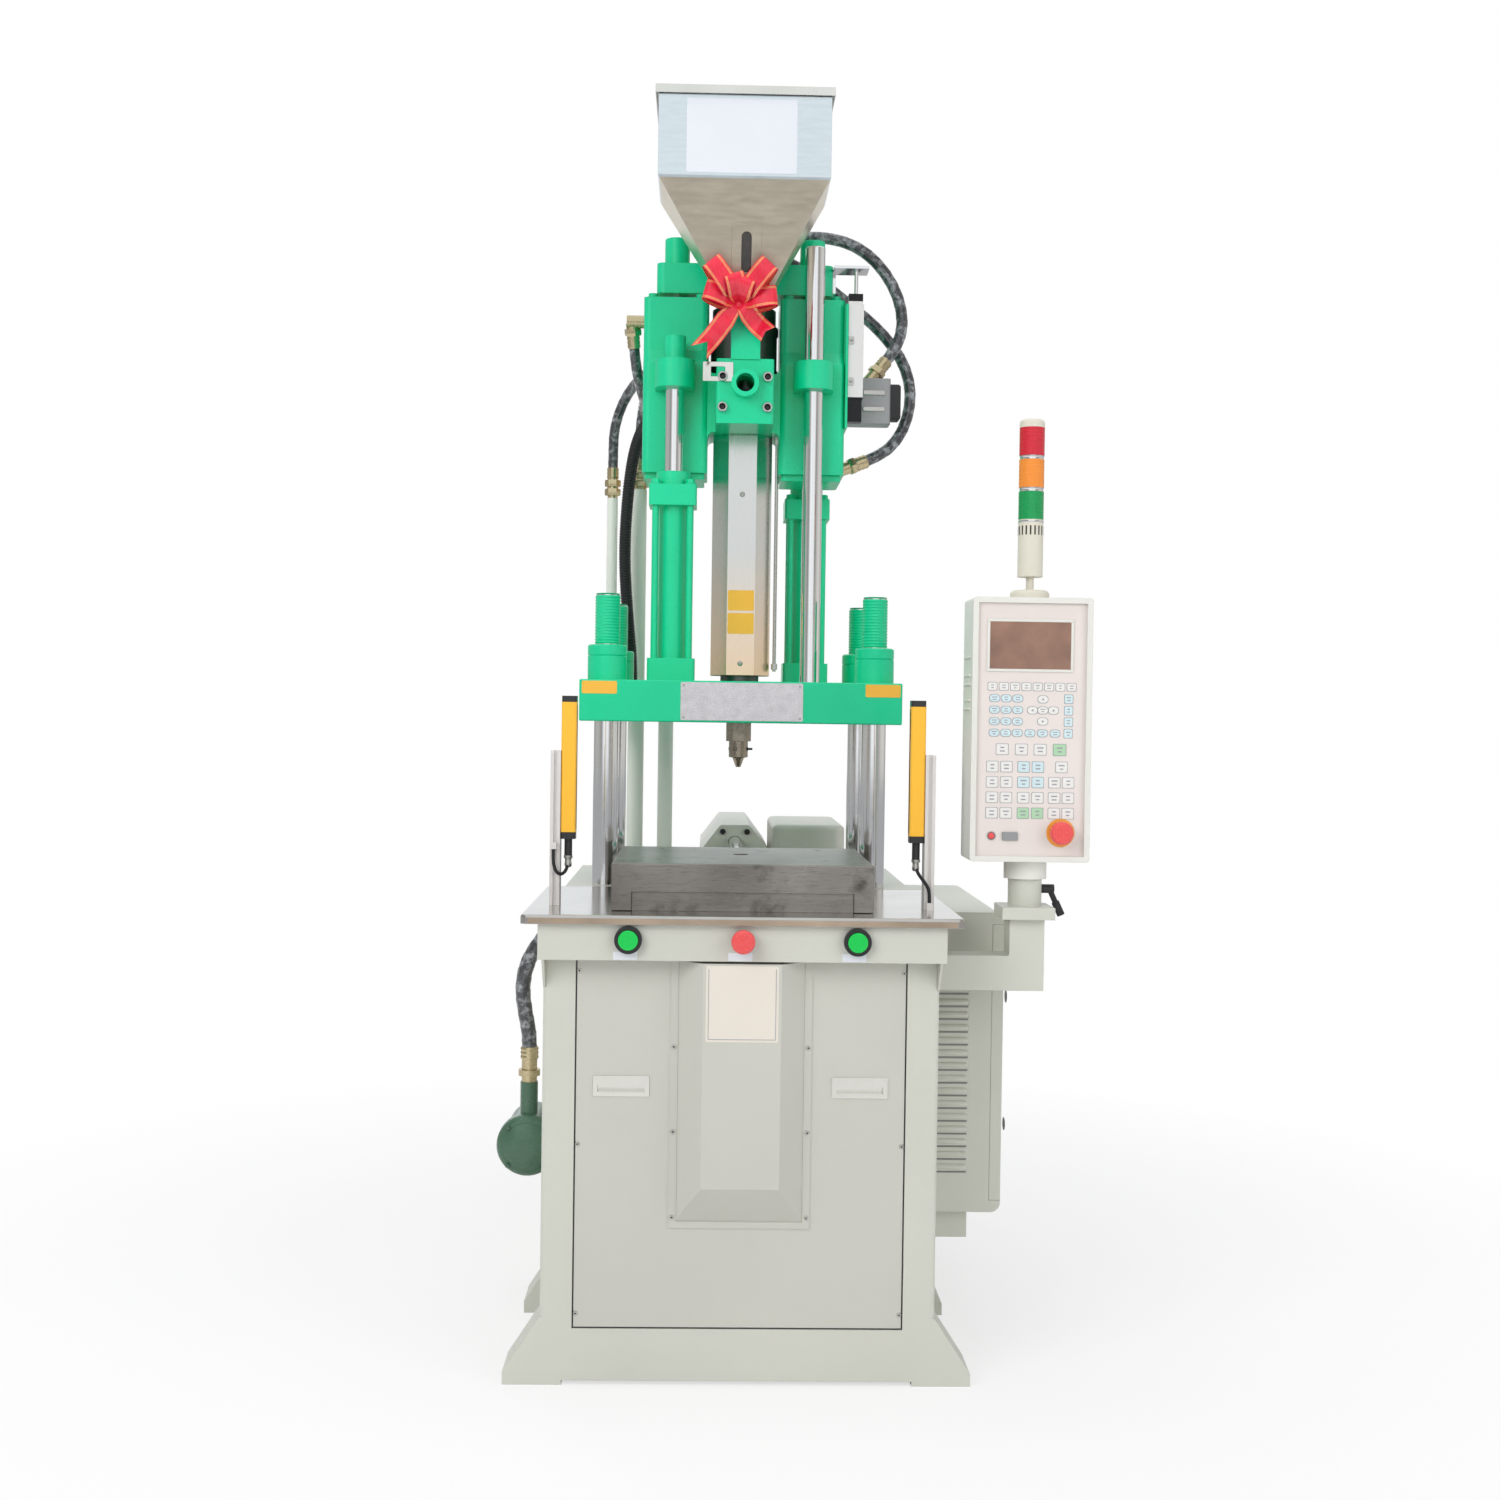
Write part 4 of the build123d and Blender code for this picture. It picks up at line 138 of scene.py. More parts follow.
def surface(
    name, colour, shade=0.06, rough=0.35, rough_spread=0.06, metal=0.0, patch=5.0, stretch=(1, 1, 1),
    grain=120.0, grain_shade=0.0, bump=0.0, coat=0.0, coat_rough=0.08, soften=0.0, stain_and_sheen=None, stain_and_sheen_place=0.6,
    bands=None, fade=None,
):
    """A procedural material: broad patches, a finer grain that can be stretched, bands or a fade up its height
    (own colours on lenses and caps, painted reflections on the hopper and the barrel cover), patches that are
    stains on ground steel and painted sheen on wrapped hoses, bump and softened edges."""
    made = bpy.data.materials.new(name)
    made.use_nodes = True
    tree = made.node_tree
    shader = tree.nodes["Principled BSDF"]
    shader.inputs["Metallic"].default_value = metal
    shader.inputs["Coat Weight"].default_value = coat
    shader.inputs["Coat Roughness"].default_value = coat_rough
    place = add_node(tree, "TexCoord").outputs["Object"]
    stretched = add_node(tree, "Mapping", Vector=place, Scale=stretch).outputs["Vector"]
    broad = add_node(tree, "TexNoise", Vector=place, Scale=patch, Detail=4.0).outputs["Fac"]
    fine = add_node(tree, "TexNoise", Vector=stretched, Scale=grain, Detail=5.0).outputs["Fac"]
    low = tuple(c * (1 - shade) for c in colour)
    high = tuple(min(1.0, c * (1 + shade)) for c in colour)
    tone = ramp(tree, broad, [(NOISE_LOW, low), (NOISE_HIGH, high)])
    height = add_node(tree, "SeparateXYZ", Vector=place).outputs["Z"] if bands or fade else None
    # Bands up the height: own colours on lenses, curtains and sensor, painted reflections on the hopper
    if bands:
        tone = ramp(tree, spread(tree, height, bands[0], bands[1], 0.0, 1.0), bands[2], constant=True)
    # A fade up the height: a painted reflection, a warmer colour towards the bottom
    if fade:
        tone = mix(tree, spread(tree, height, fade[0], fade[1], 1.0, 0.0), tone, (*fade[2], 1.0))
    if grain_shade:
        streak = ramp(tree, fine, [(NOISE_LOW, (1 - grain_shade,) * 3), (NOISE_HIGH, (1.0,) * 3)])
        tone = mix(tree, 1.0, tone, streak, "MULTIPLY")
    # Patches of a second colour: real stains on the ground plate, painted sheen of the clear film on the wrapped
    # hoses
    if stain_and_sheen:
        spot = add_node(tree, "TexNoise", Vector=place, Scale=patch * STAIN_AND_SHEEN_SCALE, Detail=8.0, Roughness=0.65)
        amount = spread(tree, spot.outputs["Fac"], stain_and_sheen_place, stain_and_sheen_place + STAIN_AND_SHEEN_EDGE, 0.0, STAIN_AND_SHEEN_MOST)
        tone = mix(tree, amount, tone, (*stain_and_sheen, 1.0))
    tree.links.new(tone, shader.inputs["Base Color"])
    least, most = max(LEAST_ROUGH, rough - rough_spread), rough + rough_spread
    tree.links.new(spread(tree, fine, NOISE_LOW, NOISE_HIGH, least, most), shader.inputs["Roughness"])
    normal = None
    if soften:
        normal = add_node(tree, "Bevel", {"samples": 4}, Radius=soften).outputs["Normal"]
    if bump:
        rise = add_node(tree, "Bump", Strength=bump, Distance=BUMP_RISE, Height=fine)
        if normal:
            tree.links.new(normal, rise.inputs["Normal"])
        normal = rise.outputs["Normal"]
    if normal:
        tree.links.new(normal, shader.inputs["Normal"])
    return made


# Colours, edge radii and the heights at which banded materials change
GREEN = (0.002, 0.62, 0.30)
GREY = (0.60, 0.60, 0.53)
BLACK = (0.018, 0.018, 0.02)
CAP_BLACK = (0.02, 0.02, 0.022)
SENSOR_PALE = (0.82, 0.80, 0.79)
# Painted reflections on the hopper: warm floor on the funnel, bluish pale room on the box above the seam
FUNNEL_FLOOR_REFLECTION, BIN_ROOM_REFLECTION = (0.73, 0.65, 0.52), (0.78, 0.86, 0.90)
LENS_GREEN, LENS_AMBER, LENS_RED = (0.0, 0.30, 0.075), (0.86, 0.27, 0.03), (0.60, 0.012, 0.03)
CURTAIN_TONE = (0.94, 0.50, 0.035)
EDGE = 0.0014
FINE_EDGE = EDGE / 2
HOPPER_SEAM = 2.198
SENSOR_BOTTOM, SENSOR_TOP = (corner.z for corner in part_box("position_sensor"))
LENS_BOTTOM, LENS_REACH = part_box("tower_lenses")[0].z, 0.171
CURTAIN_BOTTOM, CURTAIN_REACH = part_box("light_curtains")[0].z, 0.300

green = surface("green paint", GREEN, 0.05, 0.32, 0.06, grain=260, bump=0.14, coat=0.2, soften=EDGE)
grey = surface("grey paint", GREY, 0.03, 0.42, 0.05, patch=3, grain=320, bump=0.1, coat=0.1, soften=EDGE)
panel_grey = surface("panel paint", (0.56, 0.555, 0.50), 0.03, 0.45, 0.05, patch=2.5, grain=320, bump=0.08)
pipe_paint = surface("pipe paint", (0.82, 0.84, 0.77), 0.05, 0.4, 0.05, grain=200, bump=0.08, coat=0.2)
filter_paint = surface("filter paint", (0.055, 0.135, 0.08), 0.05, 0.3, 0.05, grain=220, bump=0.04, coat=0.4)
chrome = surface(
    "hard chrome", (0.86, 0.86, 0.87), 0.02, 0.10, 0.05, 1.0, stretch=(0.4, 0.4, 9), grain=140, grain_shade=0.06
)
stainless = surface(
    "polished sheet", (0.80, 0.78, 0.73), 0.06, 0.13, 0.05, 1.0, patch=7, stretch=(8, 8, 0.35), grain=60,
    grain_shade=0.05, soften=FINE_EDGE,
)
# Mirror sheet whose bands are painted reflections: tan funnel below the seam, bluish box above it
hopper_steel = surface(
    "mirror sheet", (0.9, 0.9, 0.9), 0.05, 0.34, 0.05, 1.0, patch=9, stretch=(1, 1, 5), grain=22,
    grain_shade=0.12, soften=FINE_EDGE,
    bands=(HOPPER_SEAM, HOPPER_SEAM + 0.1, [(0.0, FUNNEL_FLOOR_REFLECTION), (0.01, BIN_ROOM_REFLECTION)]),
)
# Brushed cover with a painted reflection: warm tan below the fade heights, its own tone above
cover_steel = surface(
    "brushed cover", (0.74, 0.74, 0.72), 0.02, 0.24, 0.04, 1.0, patch=6, stretch=(9, 9, 0.3), grain=70,
    grain_shade=0.03, soften=FINE_EDGE, fade=(1.25, 1.50, (1.0, 0.75, 0.53)),
)
nozzle_steel = surface(
    "nozzle steel", (0.42, 0.36, 0.29), 0.15, 0.26, 0.1, 1.0, patch=30, grain=150, grain_shade=0.15,
    soften=FINE_EDGE,
)
table_steel = surface(
    "table steel", (0.60, 0.57, 0.54), 0.08, 0.17, 0.06, 1.0, patch=6, stretch=(0.25, 7, 7), grain=90,
    grain_shade=0.12, soften=EDGE,
)
plate_steel = surface(
    "ground plate", (0.32, 0.295, 0.27), 0.22, 0.34, 0.12, 0.85, patch=7, stretch=(0.3, 6, 6), grain=120,
    grain_shade=0.2, bump=0.1, soften=EDGE, stain_and_sheen=(0.075, 0.06, 0.05), stain_and_sheen_place=0.56,
)
dark_steel = surface(
    "dark steel", (0.17, 0.165, 0.16), 0.15, 0.36, 0.1, 0.9, grain=150, grain_shade=0.15, bump=0.08,
    soften=FINE_EDGE,
)
zinc = surface("zinc screw", (0.62, 0.61, 0.58), 0.08, 0.3, 0.08, 1.0, grain=400, grain_shade=0.1)
brass = surface("brass", (0.66, 0.55, 0.34), 0.1, 0.3, 0.08, 1.0, grain=240, grain_shade=0.12)
alloy = surface(
    "anodised", (0.80, 0.765, 0.735), 0.03, 0.36, 0.05, 0.4, stretch=(6, 6, 0.4), grain=120, grain_shade=0.06,
    soften=FINE_EDGE,
)
sensor_alloy = surface(
    "sensor case", SENSOR_PALE, 0.03, 0.34, 0.05, 0.6, stretch=(6, 6, 0.4), grain=120, grain_shade=0.06,
    soften=FINE_EDGE, bands=(SENSOR_BOTTOM, SENSOR_TOP, [(0.0, BLACK), (0.19, SENSOR_PALE), (0.94, BLACK)]),
)
black = surface("black plastic", BLACK, 0.15, 0.45, 0.08, grain=600, bump=0.15)
rubber = surface("rubber", (0.016, 0.016, 0.018), 0.2, 0.5, 0.1, grain=300, bump=0.2)
# Wrapped hose: black rubber whose grey patches are painted sheen of the clear film wrap
film = surface(
    "wrapped hose", (0.035, 0.037, 0.042), 0.3, 0.28, 0.12, patch=26, stretch=(1, 1, 0.5), grain=70, bump=0.9,
    coat=1.0, coat_rough=0.12, stain_and_sheen=(0.40, 0.42, 0.44), stain_and_sheen_place=0.48,
)
button_green = surface("button green", (0.0, 0.56, 0.075), 0.05, 0.24, 0.04, grain=300, coat=0.25)
stop_red = surface("stop red", (0.80, 0.085, 0.085), 0.04, 0.28, 0.05, grain=300, coat=0.3)
stop_amber = surface("stop amber", (0.86, 0.36, 0.06), 0.05, 0.35, 0.05, grain=300)
shell_white = surface("control shell", (0.76, 0.75, 0.70), 0.02, 0.4, 0.05, grain=420, bump=0.1, soften=EDGE)
key_panel = surface("key panel", (0.76, 0.685, 0.65), 0.03, 0.36, 0.04, patch=4, grain=500, bump=0.05)
key_white = surface("key white", (0.80, 0.78, 0.75), 0.04, 0.32, 0.04, grain=500)
key_blue = surface("key blue", (0.62, 0.76, 0.79), 0.04, 0.32, 0.04, grain=500)
key_green = surface("key green", (0.42, 0.64, 0.42), 0.04, 0.32, 0.04, grain=500)
key_mark = surface("key mark", (0.30, 0.31, 0.34), 0.04, 0.4, 0.04, grain=500)
screen = surface(
    "screen", (0.25, 0.125, 0.08), 0.3, 0.1, 0.03, patch=16, stretch=(0.5, 1, 2), grain=30, coat=0.8,
    coat_rough=0.03,
)
beige = surface("tower beige", (0.70, 0.665, 0.56), 0.03, 0.38, 0.05, grain=400, soften=FINE_EDGE)
lens = surface(
    "tower lens", (0.6, 0.1, 0.05), 0.05, 0.26, 0.06, stretch=(0.2, 0.2, 3), grain=130, bump=0.35, coat=0.15,
    bands=(LENS_BOTTOM, LENS_BOTTOM + LENS_REACH, [(0.0, LENS_GREEN), (0.31, LENS_AMBER), (0.65, LENS_RED)]),
)
yellow = surface(
    "curtain yellow", (0.94, 0.50, 0.03), 0.03, 0.36, 0.05, grain=400, coat=0.2, soften=FINE_EDGE,
    bands=(
        CURTAIN_BOTTOM, CURTAIN_BOTTOM + CURTAIN_REACH,
        [(0.0, CAP_BLACK), (0.14, CURTAIN_TONE), (0.908, CAP_BLACK)],
    ),
)
connector_grey = surface(
    "connector grey", (0.33, 0.34, 0.34), 0.06, 0.4, 0.06, 0.4, grain=200, bump=0.1, soften=EDGE
)
blank_white = surface("blank plate", (0.72, 0.75, 0.79), 0.02, 0.4, 0.05, grain=300)
blank_cream = surface("cream plate", (0.76, 0.70, 0.62), 0.02, 0.45, 0.05, grain=300)
blank_amber = surface("amber plate", (0.92, 0.50, 0.06), 0.03, 0.4, 0.05, grain=300)
blank_silver = surface(
    "silver plate", (0.80, 0.76, 0.78), 0.08, 0.3, 0.08, 0.9, patch=60, grain=420, grain_shade=0.14
)

NODE_LOOKS = (
    (grey, "base_frame button_box slide_cylinder motor_cover panel_arm control_cabinet cabinet_door"),
    (panel_grey, "front_panel panel_hood"), (stainless, "panel_handles hopper_lid"), (table_steel, "work_table"),
    (black, "button_bezels clamp_lever"), (button_green, "start_button_left start_button_right"),
    (stop_red, "front_stop_button panel_stop_button"), (plate_steel, "slide_bed slide_plate"),
    (chrome, "slide_rod tie_bars guide_bars seat_rods plasticising_screw injection_rods sensor_rod"),
    (green, "tie_bar_nuts upper_platen lower_crosshead clamp_cylinder seat_cylinders injection_base"),
    (green, "cylinder_covers feed_block crosshead_beam hydraulic_motor"), (dark_steel, "barrel"),
    (cover_steel, "barrel_cover"), (nozzle_steel, "nozzle"), (hopper_steel, "hopper"),
    (sensor_alloy, "position_sensor"), (connector_grey, "connector_box"), (pipe_paint, "hydraulic_pipes"),
    (brass, "pipe_fittings hose_fittings"), (filter_paint, "suction_filter"), (shell_white, "controller_box"),
    (key_panel, "control_face"), (screen, "display"), (beige, "tower_body"), (lens, "tower_lenses"),
    (alloy, "curtain_posts"), (yellow, "light_curtains"),
)
for look, names in NODE_LOOKS:
    for node_name in names.split():
        mesh = nodes[node_name].data
        mesh.materials.clear()
        mesh.materials.append(look)


# Shape helpers: each adds closed shapes to a mesh under construction
def skin(bm, rings, capped=False):
    """Joins each ring of vertices to the next one, and closes both ends if asked."""
    for lower, upper in zip(rings, rings[1:]):
        for k in range(max(len(lower), len(upper))):
            loop = [
                lower[k % len(lower)], lower[(k + 1) % len(lower)],
                upper[(k + 1) % len(upper)], upper[k % len(upper)],
            ]
            loop = list(dict.fromkeys(loop))
            if len(loop) > 2:
                bm.faces.new(loop)
    if capped:
        bm.faces.new(rings[-1])
        bm.faces.new(rings[0][::-1])


def turned(bm, profile, place, axis=UP, steps=24):
    """A (radius, height) profile in millimetres turned about an axis through a place."""
    move = Matrix.Translation(place) @ Vector(axis).to_track_quat("Z", "Y").to_matrix().to_4x4()
    rings = []
    for radius, height in profile:
        turns = [2 * math.pi * k / steps for k in range(steps if radius else 1)]
        rings.append([bm.verts.new(move @ at(radius * math.cos(a), radius * math.sin(a), height)) for a in turns])
    skin(bm, rings)


# Heads of bolts and screws, as shares of the radius and the height
WASHER = ((0, 0), (1.3, 0), (1.3, 0.2), (0, 0.2))
HEXAGON = ((0, 0.2), (1, 0.2), (1, 0.82), (0.84, 1), (0, 1))
SOCKET_HEAD = ((0, 0), (1, 0), (1, 0.88), (0.9, 1), (0.55, 1), (0.5, 0.3), (0, 0.3))
PAN_HEAD = ((0, 0), (1, 0), (1, 0.3), (0.8, 0.8), (0.4, 1), (0.25, 0.55), (0, 0.5))


def scaled(profile, radius, height):
    """A profile of shares at its real size."""
    return [(share * radius, rise * height) for share, rise in profile]


def hex_bolt(bm, place, axis, radius, height):
    """A hexagon head with a chamfered top on a washer."""
    turned(bm, scaled(WASHER, radius, height), place, axis)
    turned(bm, scaled(HEXAGON, radius, height), place, axis, 6)


def socket_bolt(bm, place, axis, radius, height):
    """A round head with a hollow socket."""
    turned(bm, scaled(SOCKET_HEAD, radius, height), place, axis, 18)


def pan_screw(bm, place, axis, radius, height):
    """A domed screw head with a dished middle."""
    turned(bm, scaled(PAN_HEAD, radius, height), place, axis, 16)


def rounded_outline(width, height, corner, steps=4):
    """The points of a rounded rectangle about its middle."""
    points = []
    for turn, (sx, sy) in enumerate(((1, 1), (-1, 1), (-1, -1), (1, -1))):
        for k in range(steps + 1):
            a = math.pi / 2 * (turn + k / steps)
            points.append((
                sx * (width / 2 - corner) + corner * math.cos(a), sy * (height / 2 - corner) + corner * math.sin(a)
            ))
    return points


LEAST_CORNER = 1e-5


def plate(bm, centre, size, across=ACROSS, up=UP):
    """A rounded plate that stands proud of a face: its size is its width, height, depth, corner and chamfer."""
    width, height, depth, corner, edge = size
    across, up = Vector(across).normalized(), Vector(up).normalized()
    out = across.cross(up)
    rings = []
    for rise, inset in ((0.0, 0.0), (depth - edge, 0.0), (depth, edge)):
        outline = rounded_outline(width - 2 * inset, height - 2 * inset, max(corner - inset, LEAST_CORNER))
        rings.append([bm.verts.new(Vector(centre) + across * x + up * y + out * rise) for x, y in outline])
    skin(bm, rings, capped=True)


SHARP, ROUND_SHARP = 35, 60


def piece(name, bm, body, look, sharp=SHARP):
    """Makes a piece of the gathered shapes, with smooth faces and sharp edges, and lets it ride on a body."""
    mesh = bpy.data.meshes.new(name)
    bmesh.ops.recalc_face_normals(bm, faces=bm.faces[:])
    bm.to_mesh(mesh)
    bm.free()
    mesh.materials.append(look)
    mesh.polygons.foreach_set("use_smooth", [True] * len(mesh.polygons))
    mesh.set_sharp_from_angle(angle=math.radians(sharp))
    made = linked(name, mesh)
    if body:
        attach(made, body)
    return made


def group(name, body, look, shape, rows, sharp=SHARP):
    """A piece of one kind of shape, made once for each row of what that shape takes."""
    bm = bmesh.new()
    for row in rows:
        shape(bm, *row)
    piece(name, bm, body, look, sharp)


# Hoses: each follows one smooth spline along its route, in millimetres
THIN_RISER = [
    (-287, 318, 1692), (-287, 318, 1747), (-285, 307, 1802), (-269, 286, 1850), (-244, 254, 1887),
    (-216, 211, 1907), (-192, 161, 1911), (-177, 108, 1908),
]
RETURN_RISER = [
    (-228, 318, 1712), (-228, 318, 1760), (-225, 296, 1808), (-219, 254, 1838), (-214, 202, 1848),
    (-215, 150, 1853), (-222, 102, 1871), (-229, 68, 1908), (-233, 52, 1956),
]
FEED_RISER = [
    (-160, 318, 1684), (-160, 318, 1714), (-157, 309, 1742), (-152, 292, 1767), (-146, 269, 1784),
    (-138, 241, 1794), (-126, 201, 1792), (-112, 153, 1781), (-98, 104, 1768),
]
CONDUIT = [
    (-236, 252, 1205), (-236, 252, 1273), (-243, 254, 1341), (-249, 254, 1409), (-254, 254, 1477),
    (-255, 254, 1545), (-252, 254, 1613), (-246, 244, 1680), (-235, 219, 1742), (-216, 169, 1783),
    (-195, 106, 1796),
]
UPPER_MOTOR = [
    (66.4, 16, 2164), (120, 16, 2164), (174, 18, 2165), (227, 23, 2153), (272, 29, 2125), (307, 35, 2084),
    (330, 39, 2036), (336, 35, 1982), (319, 24, 1933), (286, 10, 1892),
]
LOWER_MOTOR = [
    (54.4, 38.1, 2124), (96, 67, 2124), (142, 90, 2105), (190, 98, 2073), (238, 100, 2036), (283, 98, 1999),
    (320, 94, 1958), (348, 88, 1911), (360, 81, 1858), (354, 73, 1804), (333, 66, 1754), (295, 58, 1716),
    (244, 50, 1696),
]
SUCTION = [
    (-404, -262, 484), (-404, -262, 529), (-413, -265, 574), (-419, -269, 619), (-413, -274, 664),
    (-394, -279, 704), (-366, -283, 740),
]
LEFT_CABLE = [
    (-310.5, -565, 906), (-310.5, -565, 892), (-313, -575, 880), (-320, -586, 873), (-329, -592, 877),
    (-334, -592, 890), (-335, -592, 904), (-335, -592, 919),
]
RIGHT_CABLE = [
    (310.5, -565, 906), (310.5, -565, 892), (314, -576, 881), (321, -588, 871), (330, -592, 859),
    (333, -592, 845), (333, -592, 831),
]


def spline_points(name, route):
    """Points along the smooth NURBS line of a route."""
    data = bpy.data.curves.new(name, "CURVE")
    data.dimensions = "3D"
    data.resolution_u = 14
    line = data.splines.new("NURBS")
    line.points.add(len(route) - 1)
    for point, place in zip(line.points, route):
        point.co = (*at(*place), 1.0)
    line.order_u = 3
    line.use_endpoint_u = True
    holder = linked(name, data)
    bpy.context.view_layer.update()
    mesh = bpy.data.meshes.new_from_object(holder)
    points = [v.co.copy() for v in mesh.vertices]
    bpy.data.objects.remove(holder)
    bpy.data.curves.remove(data)
    bpy.data.meshes.remove(mesh)
    return points


def path_length(points):
    """The length of a line through points."""
    return sum((b - a).length for a, b in zip(points, points[1:]))


def evenly(points, step):
    """The same line with points about a step apart."""
    total = path_length(points)
    count = max(2, round(total / step))
    marks, made, run, k = [total * n / count for n in range(count + 1)], [], 0.0, 0
    for mark in marks:
        while k < len(points) - 2 and run + (points[k + 1] - points[k]).length < mark:
            run += (points[k + 1] - points[k]).length
            k += 1
        stretch = (points[k + 1] - points[k]).length
        made.append(points[k].lerp(points[k + 1], min(1.0, (mark - run) / stretch)))
    return made


def tube(bm, points, radius_at, steps=16):
    """A closed tube along points, with a radius that can vary along it and round it."""
    last = len(points) - 1
    tangents = [(points[min(k + 1, last)] - points[max(k - 1, 0)]).normalized() for k in range(len(points))]
    side = tangents[0].orthogonal().normalized()
    rings, run = [], 0.0
    for k, (point, tangent) in enumerate(zip(points, tangents)):
        if k:
            run += (point - points[k - 1]).length
        side = (side - tangent * side.dot(tangent)).normalized()
        other = tangent.cross(side)
        ring = []
        for n in range(steps):
            a = 2 * math.pi * n / steps
            ring.append(bm.verts.new(point + (side * math.cos(a) + other * math.sin(a)) * radius_at(run, a)))
        rings.append(ring)
    skin(bm, rings, capped=True)


LAP_PITCH, LAP_SHARE, CREASE_SHARE = 0.028, 0.05, 0.02
CREASE_WAVES = (410, 173)


def wrapped(radius, seed):
    """A hose wrapped in film: a shallow spiral lap with small creases."""
    def radius_at(run, angle):
        lap = (run / LAP_PITCH - angle / (2 * math.pi)) % 1.0
        crease = math.sin(run * CREASE_WAVES[0] + 3 * angle + seed)
        crease *= math.sin(run * CREASE_WAVES[1] - 2 * angle + seed * 2)
        return radius * (1 - LAP_SHARE + LAP_SHARE * lap + CREASE_SHARE * crease)
    return radius_at


def ribbed(radius, pitch, depth):
    """A corrugated conduit."""
    def radius_at(run, angle):
        return radius * (1 - depth * (0.5 + 0.5 * math.cos(2 * math.pi * run / pitch)) ** 2)
    return radius_at


def hose(name, points, radius_at, step, look, steps=16):
    """A hose as a mesh tube along a smooth line."""
    bm = bmesh.new()
    tube(bm, evenly(points, step), radius_at, steps)
    return piece(name, bm, None, look, ROUND_SHARP)


# A riser crosses two joints, so it is made as two pieces, a lower one and an upper one
HOSE_STEP, CABLE_STEP = 0.004, 0.003
RISER_RADIUS, MOTOR_RADIUS, SUCTION_RADIUS, CABLE_RADIUS = 0.0115, 0.0125, 0.015, 0.003
CONDUIT_RADIUS, RIB_PITCH, RIB_DEPTH = 0.0135, 0.0062, 0.13
RISE_SHARE, UPPER_RUN = 0.26, 0.148
for name, route in (("thin_riser", THIN_RISER), ("return_riser", RETURN_RISER), ("feed_riser", FEED_RISER)):
    line = evenly(spline_points(name, route), HOSE_STEP)
    rise, split = round(len(line) * RISE_SHARE), len(line) - round(UPPER_RUN / HOSE_STEP)
    for part, points, bodies, start in (
        ("lower", line[: split + 1], ("base", "clamp_carriage"), line[rise]),
        ("upper", line[split:], ("clamp_carriage", "injection_unit"), line[split + 1]),
    ):
        made = hose(f"{name}_{part}", points, wrapped(RISER_RADIUS, len(name)), HOSE_STEP, film)
        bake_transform(made)
        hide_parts("riser_hoses")

line = spline_points("conduit", CONDUIT)
made = hose("cable_conduit_ribbed", line, ribbed(CONDUIT_RADIUS, RIB_PITCH, RIB_DEPTH), RIB_PITCH / 4, rubber)
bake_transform(made)
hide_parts("cable_conduit")

for name, route in (("upper_motor_hose", UPPER_MOTOR), ("lower_motor_hose", LOWER_MOTOR)):
    line = spline_points(name, route)
    made = hose(name, line, wrapped(MOTOR_RADIUS, len(route)), HOSE_STEP, film)
    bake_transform(made)
    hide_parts("motor_hoses")

line = spline_points("suction", SUCTION)
made = hose("suction_hose_wrapped", line, wrapped(SUCTION_RADIUS, 2.0), HOSE_STEP, film)
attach(made, "base")
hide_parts("suction_hose")

for name, route in (("left_sensor_cable", LEFT_CABLE), ("right_sensor_cable", RIGHT_CABLE)):
    line = spline_points(name, route)
    made = hose(name, line, lambda run, angle: CABLE_RADIUS, CABLE_STEP, rubber, 12)
    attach(made, "base")
    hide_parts("sensor_cables")

# Hose ends: crimped sleeves and hexagon nuts
CRIMP_STEP, CRIMPS, CRIMP_SWELL = 4, 6, 1.08
HOSE_NUT = ((0, 0), (17.5, 0), (18.5, 3), (18.5, 12), (17, 14), (0, 14))
SLEEVE_LAP, NUT_GAP = 0.022, 0.004
RISERS = (THIN_RISER, RETURN_RISER, FEED_RISER)


def crimped_sleeve(bm, place, way, radius):
    """A hose sleeve that swells at every second step."""
    crimps = [(radius * (CRIMP_SWELL if k % 2 else 1), k * CRIMP_STEP) for k in range(CRIMPS + 1)]
    turned(bm, [(0, 0), *crimps, (0, CRIMPS * CRIMP_STEP)], place, way)


bm = bmesh.new()
for route, radius in (*((riser, 12.6) for riser in RISERS), (SUCTION, 16.5)):
    start = at(*route[0])
    crimped_sleeve(bm, start, (at(*route[1]) - start).normalized(), radius)
piece("base_hose_sleeves", bm, "base", brass)
bm = bmesh.new()
for route, radius in (*((riser, 13) for riser in RISERS), (UPPER_MOTOR, 14), (LOWER_MOTOR, 14)):
    end = at(*route[-1])
    way = (end - at(*route[-2])).normalized()
    crimped_sleeve(bm, end - way * SLEEVE_LAP, way, radius)
    turned(bm, HOSE_NUT, end + way * NUT_GAP, way, 6)
piece("unit_hose_sleeves", bm, "injection_unit", brass)

# Front panel and hood: rows of screws by distance from the middle, front and heights, and painted shade
# in the gap round the panel and in the screw recesses
SCREW, SCREW_SOCKET_SHADE = (4.2, 2.2), ((0, 1.21), (1.7, 1.21), (1.7, 1.91), (0, 1.91))
GAP_SHADE_WIDTH, GAP_SHADE_SIZE = 0.002, (0.0005, 0.0005, 0.0002)
panel_low, panel_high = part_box("front_panel")
hood_low, hood_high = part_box("panel_hood")
SCREW_ROWS = (
    (panel_high.x - 0.0055, panel_low.y, (0.124, 0.417, 0.717)),
    (hood_high.x - 0.006, panel_low.y - 0.002, (0.292, 0.44, 0.587)),
)
screws = [(side * x, y, z) for side in SIDES for x, y, heights in SCREW_ROWS for z in heights]
group("panel_screws", "base", zinc, pan_screw, [(place, FRONT, *SCREW) for place in screws])
middle, size = (panel_low + panel_high) / 2, panel_high - panel_low
